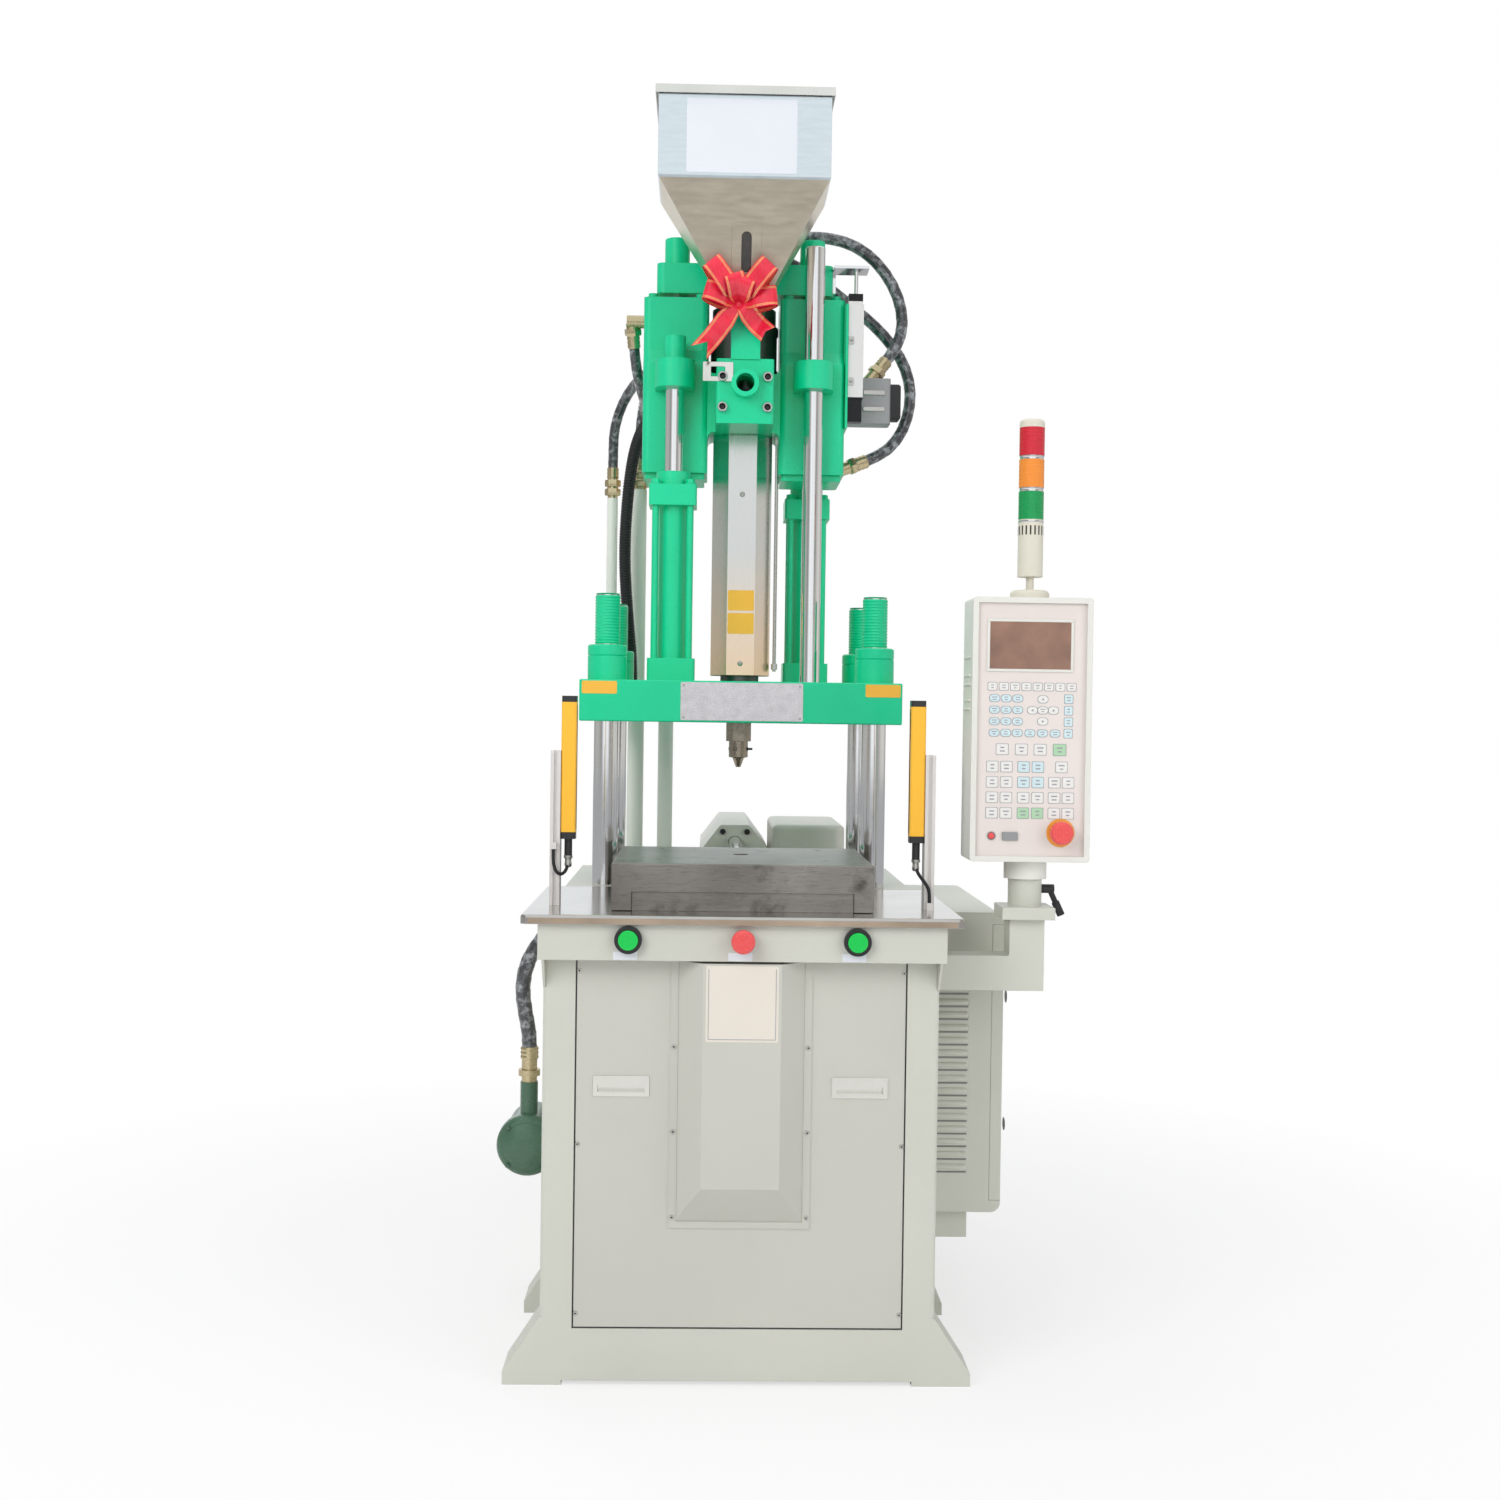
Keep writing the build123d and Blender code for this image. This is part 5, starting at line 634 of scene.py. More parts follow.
# Painted shade: dark strips in the gap round the panel and dark discs in the screws' recesses
bm = bmesh.new()
for x, z, width, height in (
    (panel_low.x + GAP_SHADE_WIDTH / 2, middle.z, GAP_SHADE_WIDTH, size.z),
    (panel_high.x - GAP_SHADE_WIDTH / 2, middle.z, GAP_SHADE_WIDTH, size.z),
    (0, panel_low.z + GAP_SHADE_WIDTH / 2, size.x - 2 * GAP_SHADE_WIDTH, GAP_SHADE_WIDTH),
):
    plate(bm, (x, panel_low.y, z), (width, height, *GAP_SHADE_SIZE))
for place in screws:
    turned(bm, SCREW_SOCKET_SHADE, place, FRONT, 6)
piece("panel_gap_shade", bm, "base", rubber)

# Bare plates where the photograph shows labels, and a painted highlight on the table's front edge,
# each given by its left, right, bottom and top
PLATE_DEPTH, PLATE_CORNER, PLATE_EDGE = 0.0006, 0.003, 0.0002


def flat_plates(name, body, look, spans, y, depth=PLATE_DEPTH, corner=PLATE_CORNER):
    """Thin upright plates on a front face."""
    rows = [
        (((left + right) / 2, y, (bottom + top) / 2), (right - left, top - bottom, depth, corner, PLATE_EDGE))
        for left, right, bottom, top in spans
    ]
    group(name, body, look, plate, rows)


table_low, table_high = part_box("work_table")
HOOD_PLATE = (-0.062, 0.062, 0.603, hood_high.z - 0.003)
HOOD_BORDER = ((-0.058, 0.058, 0.607, 0.6082), (-0.058, -0.0568, 0.6084, 0.728), (0.0568, 0.058, 0.6084, 0.728))
BUTTON_PLATES = [(x - 0.0205, x + 0.0205, 0.7415, 0.7555) for x in (-0.2, -0.0045, 0.19)]
TABLE_EDGE = (table_low.x + 0.013, table_high.x - 0.013, table_low.z + 0.001, table_high.z - 0.0055)
border_front, box_front = hood_low.y - PLATE_DEPTH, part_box("button_box")[0].y
# The table's front edge: a warm brown plate that is a painted highlight
edge_highlight_look = surface("table edge", (0.40, 0.31, 0.23), 0.18, 0.4, 0.1, 0.3, patch=14, grain=160)
flat_plates("hood_plate", "base", blank_cream, [HOOD_PLATE], hood_low.y)
flat_plates("hood_plate_border", "base", key_mark, HOOD_BORDER, border_front, 0.00025, 0.0004)
flat_plates("button_plates", "base", blank_white, BUTTON_PLATES, box_front, corner=0.001)
flat_plates("table_edge", "base", edge_highlight_look, [TABLE_EDGE], table_low.y, 0.0003, 0.0008)

# Platen: a bare name plate with rivets and two bare amber plates
platen_low, platen_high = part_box("upper_platen")
platen_front, plate_bottom, plate_top = platen_low.y, platen_low.z + 0.004, platen_high.z - 0.003
NAME_PLATE, NAME_DEPTH = (-0.119, 0.122, plate_bottom, plate_top), 0.001
AMBER_PLATES = [(left, left + 0.069, plate_top - 0.025, plate_top) for left in (-0.313, 0.245)]
RIVET, RIVET_ROWS = (2.5, 1.2), (plate_bottom + 0.006, plate_top - 0.006)
RIVETS = [((x, platen_front - NAME_DEPTH, z), FRONT, *RIVET) for x in (-0.113, 0.116) for z in RIVET_ROWS]
flat_plates(
    "platen_name_plate", "clamp_carriage", blank_silver, [NAME_PLATE], platen_front, NAME_DEPTH
)
flat_plates("platen_amber_plates", "clamp_carriage", blank_amber, AMBER_PLATES, platen_front)
group("name_plate_rivets", "clamp_carriage", zinc, pan_screw, RIVETS)

# Barrel cover: two bare amber plates and its screws
cover_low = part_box("barrel_cover")[0]
COVER_PLATES = [(-0.027, 0.027, *span) for span in ((1.376, 1.418), (1.328, 1.371))]
COVER_SCREWS = [((0, cover_low.y, z), FRONT, 5.5, 3) for z in (cover_low.z + 0.024, 1.615)]
flat_plates("barrel_cover_plates", "injection_unit", blank_amber, COVER_PLATES, cover_low.y)
group("barrel_cover_screws", "injection_unit", zinc, pan_screw, COVER_SCREWS)

# Hopper: a bare white plate and the glass in the funnel's window slot
HOPPER_PLATE = (-0.121, 0.093, 2.209, 2.352)
FUNNEL_WAY, WINDOW = (0, -0.068, 0.242), at(-1.76, -234.57, 2067.2)
WINDOW_SIZE = (0.0194, 0.0774, 0.0015, 0.0096, 0.0003)
hopper_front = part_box("hopper")[0].y
glass = surface(
    "window glass", (0.045, 0.043, 0.04), 0.3, 0.07, 0.03, patch=40, grain=60, coat=0.9, coat_rough=0.03
)
flat_plates("hopper_plate", "injection_unit", blank_white, [HOPPER_PLATE], hopper_front)
group(
    "hopper_window_glass", "injection_unit", glass, plate, [(WINDOW, WINDOW_SIZE, ACROSS, FUNNEL_WAY)]
)

# Feed block: hollow bolt sleeves with painted shade in their sockets, and the slide gate's plate with its finger
# hole
FEED_FRONT = -0.200
FEED_BOLTS = [(x, FEED_FRONT, z) for x in (-0.0445, 0.0445) for z in (1.7695, 1.8295)]
FEED_SLEEVE = ((0, 0), (9.8, 0), (9.8, 10), (8.8, 11), (6.6, 11), (6.6, 1), (0, 1))
FEED_SOCKET_SHADE = ((0, 1), (6.6, 1), (4.62, 4.5), (0, 4.5))
sleeves = [(FEED_SLEEVE, place, FRONT) for place in FEED_BOLTS]
# Black cones in the sleeves' hollows are painted shade
socket_shades = [(FEED_SOCKET_SHADE, place, FRONT, 18) for place in FEED_BOLTS]
group("feed_bolts", "injection_unit", zinc, turned, sleeves)
group("feed_bolt_socket_shades", "injection_unit", black, turned, socket_shades)
GATE_WIDTH, GATE_HEIGHT, GATE_SHEET, GATE_CORNER = 0.060, 0.038, 0.0015, 0.002
GATE_HOLE, GATE_MIDDLE = (0.019, 0.0135), Vector((-0.054, FEED_FRONT, 1.8395))
bm = bmesh.new()
outline = rounded_outline(GATE_WIDTH, GATE_HEIGHT, GATE_CORNER)
turns = [math.atan2(z / GATE_HEIGHT, x / GATE_WIDTH) for x, z in outline]
hole = [(GATE_HOLE[0] * math.cos(turn), GATE_HOLE[1] * math.sin(turn)) for turn in turns]
rings = [
    [bm.verts.new(GATE_MIDDLE + Vector((x, -rise, z))) for x, z in ring]
    for rise in (0.0, GATE_SHEET)
    for ring in (outline, hole)
]
for first, second in ((0, 1), (2, 3), (0, 2), (1, 3)):
    skin(bm, [rings[first], rings[second]])
piece("gate_handle", bm, "injection_unit", stainless)


def around(count, start=0.5):
    """Directions evenly spread round a circle, from a share of the first step."""
    turns = [2 * math.pi * (k + start) / count for k in range(count)]
    return [(math.cos(turn), math.sin(turn)) for turn in turns]


# Barrel end: a dark coupling housing between the blocks, open round the screw shaft
HOUSING_BOTTOM, HOUSING_TOP, HOUSING_CIRCLE = 1.860, 2.002, 0.052
HOUSING = (
    (19, 0), (71.5, 0), (71.5, 16), (69, 20), (69, 88), (71.5, 92), (71.5, 106), (66, 110), (66, 142), (19, 142),
    (19, 0),
)
bm = bmesh.new()
turned(bm, HOUSING, (0, 0, HOUSING_BOTTOM), UP, 40)
for x, y in around(8):
    socket_bolt(bm, (x * HOUSING_CIRCLE, y * HOUSING_CIRCLE, HOUSING_TOP), UP, 6.5, 7)
piece("coupling_housing", bm, "injection_unit", dark_steel)

# Nozzle: key holes and a side pin
NOZZLE_RADIUS, NOZZLE_HEIGHT = 0.020, 1.090
KEY_HOLE = ((0, -0.8), (4.2, -0.8), (4.2, 0.6), (3, 0.6), (3, -0.2), (0, -0.2))
SIDE_PIN = ((0, 0), (2.4, 0), (2.4, 9), (1.8, 9.6), (0, 9.6))
bm = bmesh.new()
for turn in (-110, -20, 70, 160):
    out = Vector((math.cos(math.radians(turn)), math.sin(math.radians(turn)), 0))
    turned(bm, KEY_HOLE, out * NOZZLE_RADIUS + Vector((0, 0, NOZZLE_HEIGHT)), out, 18)
turned(bm, SIDE_PIN, (NOZZLE_RADIUS, 0, NOZZLE_HEIGHT), ACROSS, 14)
piece("nozzle_keys", bm, "injection_unit", dark_steel)

# Bolts on the block tops, the seat cylinder heads, the beam and the slide cylinder: place, axis, radius and height
BLOCK_TOP, SEAT_TOP, BEAM_SEAT, SLIDE_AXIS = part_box("injection_base")[1].z, 1.622, 2.108, 0.897
SEATS, SEAT_TIES = ((-0.141, -0.110), (0.141, 0.110)), (-0.035, 0.035)
BLOCK_BOLTS = [
    ((side * x, y, BLOCK_TOP), UP, 9.5, 10) for side in SIDES for x in (0.091, 0.189) for y in (-0.05, 0.05)
]
SEAT_NUTS = [((x + dx, y + dy, SEAT_TOP), UP, 9.5, 11) for x, y in SEATS for dx in SEAT_TIES for dy in SEAT_TIES]
MOTOR_BOLTS = [((x, y, BEAM_SEAT), UP, 7, 8) for x in (-0.046, 0.046) for y in (-0.036, 0.036)]
SLIDE_BOLTS = [((x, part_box("slide_cylinder")[0].y, SLIDE_AXIS), FRONT, 6.5, 6) for x in (-0.0275, 0.0275)]
group("block_bolts", "injection_unit", green, socket_bolt, BLOCK_BOLTS)
group("seat_tie_nuts", "clamp_carriage", green, hex_bolt, SEAT_NUTS)
group("motor_bolts", "crosshead", dark_steel, socket_bolt, MOTOR_BOLTS)

# Tie bars: threaded ends above the nuts, and their caps
BARS = [(x, y) for x in (-0.267, 0.267) for y in (-0.175, 0.175)]
THREAD_BOTTOM, THREAD_TURNS, THREAD_PITCH, THREAD_SHARP = 1.2985, 16, 6, 20
THREAD_END, THREAD_ROOT, THREAD_CREST, THREAD_RUNOUT = 24.02, 24.05, 25.6, 0.2
BAR_CAP = ((0, 0), (23.8, 0), (23.8, 0.6), (23.2, 1.2), (0, 1.2))
thread = [(THREAD_END, 0.0)]
for turn in range(THREAD_TURNS):
    thread += [(THREAD_ROOT, turn * THREAD_PITCH), (THREAD_CREST, (turn + 0.5) * THREAD_PITCH)]
thread_length = THREAD_TURNS * THREAD_PITCH
thread += [(THREAD_ROOT, thread_length), (THREAD_END, thread_length + THREAD_RUNOUT)]
bar_ends = ((thread, THREAD_BOTTOM), (BAR_CAP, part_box("tie_bars")[1].z))
threads = [(profile, (*bar, z), UP, 36) for bar in BARS for profile, z in bar_ends]
group("tie_bar_threads", "clamp_carriage", green, turned, threads, THREAD_SHARP)
group("housing_bolts", "base", black, socket_bolt, SLIDE_BOLTS)

# The filter's domed cap with its bolts, and two nuts on each pipe's place, radius and top
FILTER_CAP = Vector((-0.404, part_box("suction_filter")[0].y, 0.320))
FILTER_DOME, FILTER_CIRCLE = ((0, 0), (46, 0), (46, 2), (40, 5.5), (28, 9), (14, 11), (0, 11.5)), 0.051
PIPES, PIPE_DEPTH = ((-0.287, 12, 1.648), (-0.228, 18.5, 1.668), (-0.160, 17, 1.640)), 0.318
PIPE_NUT = ((1, 0), (1.42, 0), (1.5, 2), (1.5, 13), (1.42, 15), (1, 15))
bm = bmesh.new()
turned(bm, FILTER_DOME, FILTER_CAP, FRONT)
for x, z in around(4):
    hex_bolt(bm, FILTER_CAP + Vector((x, 0, z)) * FILTER_CIRCLE, FRONT, 4.2, 5)
piece("filter_bolts", bm, "base", filter_paint)
pipe_nuts = [
    (scaled(PIPE_NUT, radius, 1), (x, PIPE_DEPTH, top + rise), UP, 6)
    for x, radius, top in PIPES
    for rise in (0.006, 0.026)
]
group("pipe_nuts", "base", brass, turned, pipe_nuts)

# Oil tube beside the barrel cover, with its nuts by radius, height and place, in millimetres
OIL_TUBE, OIL_TUBE_HEIGHTS, OIL_TUBE_RADIUS = (71, -36), range(1252, 1742, 8), 0.0038
bm = bmesh.new()
tube(bm, [at(*OIL_TUBE, z) for z in OIL_TUBE_HEIGHTS], lambda run, angle: OIL_TUBE_RADIUS, 12)
for radius, height, z in ((7.5, 16, 1722), (6.5, 12, 1256)):
    turned(bm, [(0, 0), (radius, 0), (radius, height), (0, height)], at(*OIL_TUBE, z), UP, 6)
piece("oil_tube", bm, "injection_unit", zinc)

# Key panel: each key's middle from the face's left and top edges, its width, height and corner
FACE_LEFT, FACE_FRONT, FACE_TOP = 0.409, -0.614, 1.364
KEY_DEPTH, KEY_CORNER, KEY_EDGE = 0.0011, 0.0022, 0.0004
SMALL_KEY, SIDE_KEY = (0.0155, 0.0132, KEY_CORNER), (0.0144, 0.0148, KEY_CORNER)
OVAL_KEY, LARGE_KEY = (0.0175, 0.0122, 0.006), (0.020, 0.0182, KEY_CORNER)
WIDE_KEY, START_KEY = (0.021, 0.0185, KEY_CORNER), (0.0222, 0.0196, KEY_CORNER)
PAIR_COLUMNS = ((0.0285, 0.0535), (0.084, 0.1093), (0.1388, 0.1633))
OVAL_ROWS, LARGE_ROWS = (0.168, 0.1883, 0.2086, 0.2289), (0.2885, 0.3157, 0.3429, 0.3701)
SMALL_COLUMNS, SMALL_ROW = [0.0266 + 0.02 * k for k in range(8)], 0.1471
OVAL_COLUMNS, SIDE_COLUMN = [0.0307 + 0.0205 * k for k in range(3)], 0.1619
WIDE_COLUMNS, START_COLUMN, WIDE_ROW = (0.0456, 0.0795, 0.1128), 0.1472, 0.2578
LOW_OVALS, ARROW_MIDDLE = (0.0941, 0.1163, 0.1385), (0.1163, 0.1885)
ARROWS = ((0.1163, 0.1690, 0), (0.0979, 0.1885, 1), (0.1352, 0.1885, 3), (0.1163, 0.2080, 2))
white_keys = [(x, SMALL_ROW, *SMALL_KEY) for x in SMALL_COLUMNS]
blue_keys = [(x, row, *OVAL_KEY) for row in OVAL_ROWS for x in OVAL_COLUMNS]
blue_keys += [(SIDE_COLUMN, row, *SIDE_KEY) for row in OVAL_ROWS]
white_keys += [(x, y, *OVAL_KEY) for x, y, turn in ARROWS] + [(*ARROW_MIDDLE, *OVAL_KEY)]
blue_keys += [(x, OVAL_ROWS[3], *OVAL_KEY) for x in LOW_OVALS]
white_keys += [(x, WIDE_ROW, *WIDE_KEY) for x in WIDE_COLUMNS]
green_keys = [(START_COLUMN, WIDE_ROW, *START_KEY)]
for number, row in enumerate(LARGE_ROWS):
    white_keys += [(x, row, *LARGE_KEY) for x in PAIR_COLUMNS[0]]
    middle_keys = green_keys if number == 3 else blue_keys if number < 2 else white_keys
    middle_keys += [(x, row, *LARGE_KEY) for x in PAIR_COLUMNS[1]]
    right = PAIR_COLUMNS[2] if number else (sum(PAIR_COLUMNS[2]) / 2,)
    white_keys += [(x, row, *LARGE_KEY) for x in right]


def on_face(x, y, rise=0.0):
    """A place on the key panel from its left and top edges."""
    return Vector((FACE_LEFT + x, FACE_FRONT - rise, FACE_TOP - y))


for name, keys, look in (
    ("white_keys", white_keys, key_white), ("blue_keys", blue_keys, key_blue), ("green_keys", green_keys, key_green)
):
    rows = [(on_face(x, y), (width, height, KEY_DEPTH, corner, KEY_EDGE)) for x, y, width, height, corner in keys]
    group(name, "controller", look, plate, rows)

# Key borders, arrows on the arrow keys and two short generic marks on the others
BORDER, BORDER_DEPTH, BORDER_EDGE = 0.0018, 0.0004, 0.0001
ARROW_CORNERS, ARROW_DEPTH = ((-0.0026, 0, -0.0016), (0.0026, 0, -0.0016), (0, 0, 0.0026)), 0.0002
MARK_ROW, MARK_HEIGHT, MARK_SIZE = 0.17, 0.12, (0.00015, 0.0003, 0.00005)
all_keys = white_keys + blue_keys + green_keys
bm = bmesh.new()
for x, y, width, height, corner in all_keys:
    plate(bm, on_face(x, y), (width + BORDER, height + BORDER, BORDER_DEPTH, corner, BORDER_EDGE))
for x, y, turn in ARROWS:
    spin = Matrix.Rotation(turn * math.pi / 2, 3, Vector(FRONT))
    rings = [
        [bm.verts.new(on_face(x, y, rise) + spin @ Vector(c)) for c in ARROW_CORNERS]
        for rise in (KEY_DEPTH, KEY_DEPTH + ARROW_DEPTH)
    ]
    skin(bm, rings, capped=True)
arrow_places = [(x, y) for x, y, turn in ARROWS]
marked_keys = [key for key in all_keys if key[:2] not in arrow_places]
for number, (x, y, width, height, corner) in enumerate(marked_keys):
    for row, share in ((-MARK_ROW, 0.34 + 0.1 * (number % 3)), (MARK_ROW, 0.3 + 0.12 * (number % 2))):
        mark = (width * share, height * MARK_HEIGHT, *MARK_SIZE)
        plate(bm, on_face(x, y + row * height, KEY_DEPTH), mark)
piece("key_borders", bm, "controller", key_mark)

# The screen's frame, the lamp, the port cover and the ring round the stop button
FRAME, FRAME_SIZE = 0.005, (0.0024, 0.001, 0.0006)
LAMP_PLACE, PORT_PLACE, PORT_SIZE = (0.0285, 0.4107), (0.0612, 0.411), (0.0277, 0.015, 0.004, 0.002, 0.001)
LAMP_RING = ((0, 0), (7.5, 0), (7.5, 1.5), (6.2, 2), (6.2, 1.2), (0, 1.2))
LAMP_DOME = ((0, 1.2), (5.8, 1.2), (5, 3.4), (3, 4.5), (0, 4.9))
STOP_RING = ((10.5, 0), (25.2, 0), (25.2, 0.6), (24.8, 1), (10.5, 1))
low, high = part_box("display")
middle, size = (low + high) / 2, high - low
frame_bars = [
    ((middle.x, FACE_FRONT, z), (size.x + 2 * FRAME, FRAME, *FRAME_SIZE))
    for z in (high.z + FRAME / 2, low.z - FRAME / 2)
] + [
    ((x, FACE_FRONT, middle.z), (FRAME, size.z, *FRAME_SIZE)) for x in (low.x - FRAME / 2, high.x + FRAME / 2)
]
group("screen_frame", "controller", shell_white, plate, frame_bars)
bm = bmesh.new()
turned(bm, LAMP_RING, on_face(*LAMP_PLACE), FRONT)
plate(bm, on_face(*PORT_PLACE), PORT_SIZE)
piece("port_cover", bm, "controller", connector_grey)
lamp_rows = [(LAMP_DOME, on_face(*LAMP_PLACE), FRONT)]
group("panel_lamp", "controller", stop_red, turned, lamp_rows)
low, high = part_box("panel_stop_button")
middle = (low + high) / 2
ring_rows = [(STOP_RING, (middle.x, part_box("control_face")[0].y, middle.z), FRONT, 40)]
group("stop_ring", "controller", stop_amber, turned, ring_rows)

# Controller: ribs on its left side
RIB_HEIGHTS, RIB_SIZE = (1.176, 1.192, 1.220, 1.236, 1.268), (0.070, 0.0045, 0.003, 0.002, 0.001)
shell_low, shell_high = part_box("controller_box")
shell_middle = (shell_low + shell_high) / 2
ribs = [((shell_low.x, shell_middle.y, z), RIB_SIZE, LEFT) for z in RIB_HEIGHTS]
group("controller_ribs", "controller", shell_white, plate, ribs)

# Signal tower: bright rings between the lenses and the sounder's slots
TOWER, TOWER_RINGS, TOWER_COLLAR = (0.508, -0.560), (1.5662, 1.6232), 1.5105
RING = ((20.1, 0), (21.7, 0), (21.7, 2.4), (21.1, 3.4), (21.7, 4.4), (21.7, 6.6), (20.1, 6.6))
COLLAR = ((22.6, 0), (22.9, 0.5), (22.9, 3.5), (22.6, 4))
SLOTS_MIDDLE, SLOT_RADIUS, SLOT_SIZE = Vector((*TOWER, 1.4965)), 0.0224, (0.0028, 0.017, 0.0003, 0.0013, 0.0001)
tower_rows = [(RING, (*TOWER, z), UP, 36) for z in TOWER_RINGS] + [(COLLAR, (*TOWER, TOWER_COLLAR), UP, 36)]
group("tower_rings", "controller", chrome, turned, tower_rows)
slots = [(SLOTS_MIDDLE + Vector((x, y, 0)) * SLOT_RADIUS, SLOT_SIZE, (-y, x, 0)) for x, y in around(18, 0)]
group("sounder_slots", "controller", black, plate, slots)

# Light curtains: the dark lens strips that face each other and bright plugs under the heads
CURTAIN_DEPTH, STRIP_PLACE, STRIP_HEIGHT, PLUG_PLACE = -0.565, 0.297, 1.063, 0.3105
STRIP_SIZE = (0.013, 0.222, 0.0004, 0.002, 0.0001)
PLUG = ((0, 0), (7.8, 0), (7.8, 5), (5.8, 6), (5.8, 12), (6.4, 13), (6.4, 18), (4.6, 21), (0, 21))
strips = [((side * STRIP_PLACE, CURTAIN_DEPTH, STRIP_HEIGHT), STRIP_SIZE, (0, side, 0)) for side in SIDES]
plugs = [(PLUG, (side * PLUG_PLACE, CURTAIN_DEPTH, CURTAIN_BOTTOM), (0, 0, -1)) for side in SIDES]
group("curtain_lenses", "base", glass, plate, strips)
group("curtain_plugs", "base", zinc, turned, plugs)

# Cabinet: louvre hoods with painted shade under them, dark strips where their slits are
LOUVRE_FEET, CABINET_FRONT = [0.319 + 0.0237 * k for k in range(15)], -0.450
SLIT_SHADES = [(0.356, 0.4265, foot - 0.0045, foot) for foot in LOUVRE_FEET]
LOUVRE_MIDDLE, LOUVRE_RISE, LOUVRE_SHARP = 0.39175, 0.00575, 70
LOUVRE_SIZE = (0.0715, 0.0125, 0.0062, 0.006, 0.0045)
# Painted shade in the louvre slits
slit_shade_look = surface("louvre shade", (0.24, 0.245, 0.23), 0.1, 0.6, 0.05, grain=200)
flat_plates("louvre_slit_shades", "base", slit_shade_look, SLIT_SHADES, CABINET_FRONT, corner=0.0015)
louvres = [((LOUVRE_MIDDLE, CABINET_FRONT, foot + LOUVRE_RISE), LOUVRE_SIZE) for foot in LOUVRE_FEET]
group("louvre_hoods", "base", grey, plate, louvres, LOUVRE_SHARP)

# Access panels on the base's sides and rear by middle, direction, width and rows of slots, with seams and screws
BASE_SIDE, BASE_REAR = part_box("control_cabinet")[0].x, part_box("base_frame")[1].y
ACCESS_MIDDLE, ACCESS_HEIGHT, ACCESS_SHEET = 0.40, 0.46, (0.0016, 0.008, 0.0005)
ACCESS_PANELS = (
    ((-BASE_SIDE, 0.33, ACCESS_MIDDLE), LEFT, 0.50, 0),
    ((BASE_SIDE, 0.38, ACCESS_MIDDLE), RIGHT, 0.44, 9),
    ((0, BASE_REAR, ACCESS_MIDDLE), REAR, 0.50, 9),
)
SEAM, SEAM_SIZE, SCREW_INSET = 0.0018, (0.0005, 0.008, 0.0002), 0.012
VENT_PITCH, VENT_SPREAD, VENT_RISE = 0.018, 0.09, 0.0042
VENT_SLOT, VENT_HOOD = (0.15, 0.006, 0.0003, 0.0028, 0.0001), (0.15, 0.006, 0.004, 0.0028, 0.0025)
MOTOR_SLOT, MOTOR_SLOT_RISES = (0.11, 0.005, 0.0003, 0.0024, 0.0001), [0.028 + 0.012 * k for k in range(6)]
GRID = [(x, z) for x in (-1, 0, 1) for z in (-1, 0, 1) if x or z]
sheets, seams, heads = [], [], []
for middle, across, width, slots in ACCESS_PANELS:
    side, up = Vector(across), Vector(UP)
    out = side.cross(up)
    face = Vector(middle) + out * ACCESS_SHEET[0]
    seams.append((middle, (width + 2 * SEAM, ACCESS_HEIGHT + 2 * SEAM, *SEAM_SIZE), across))
    sheets.append((middle, (width, ACCESS_HEIGHT, *ACCESS_SHEET), across))
    reach = (side * (width / 2 - SCREW_INSET), up * (ACCESS_HEIGHT / 2 - SCREW_INSET))
    heads += [(face + reach[0] * x + reach[1] * z, out, *SCREW) for x, z in GRID]
    for row in range(slots):
        for way in SIDES:
            place = face + side * way * VENT_SPREAD + up * (row - (slots - 1) / 2) * VENT_PITCH
            seams.append((place, VENT_SLOT, across))
            sheets.append((place + up * VENT_RISE, VENT_HOOD, across))
low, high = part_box("motor_cover")
seams += [(((low.x + high.x) / 2, high.y, low.z + rise), MOTOR_SLOT, REAR) for rise in MOTOR_SLOT_RISES]
group("access_panels", "base", panel_grey, plate, sheets, ROUND_SHARP)
group("access_seams", "base", rubber, plate, seams)
group("access_screws", "base", zinc, pan_screw, heads)

# Oil gauge on the left side: a dark body, a clear tube and two bolts
GAUGE = Vector((-BASE_SIDE, -0.02, ACCESS_MIDDLE))
GAUGE_SIZE, GAUGE_TUBE = (0.034, 0.150, 0.012, 0.008, 0.003), (0.014, 0.076, 0.003, 0.006, 0.0015)
GAUGE_FACE = GAUGE - Vector((GAUGE_SIZE[2], 0, 0))
GAUGE_BOLTS = [(GAUGE_FACE + Vector((0, 0, rise)), (-1, 0, 0), 8.5, 9) for rise in (-0.055, 0.055)]
gauge_look = surface("gauge glass", (0.62, 0.47, 0.16), 0.1, 0.08, 0.03, coat=0.8, grain=60)
group("oil_gauge", "base", black, plate, [(GAUGE, GAUGE_SIZE, LEFT)])
group("oil_gauge_glass", "base", gauge_look, plate, [(GAUGE_FACE, GAUGE_TUBE, LEFT)])
group("oil_gauge_bolts", "base", zinc, hex_bolt, GAUGE_BOLTS)

# Cabinet door: two turn locks
LOCK = ((0, 0), (12, 0), (12, 0.8), (11, 1.4), (3, 1.4), (3, 0.8), (0, 0.8))
LOCK_INSET, LOCK_HEIGHTS = 0.030, (0.40, 0.64)
low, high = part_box("cabinet_door")
locks = [(LOCK, (high.x, low.y + LOCK_INSET, z), ACROSS) for z in LOCK_HEIGHTS]
group("door_locks", "door", dark_steel, turned, locks)

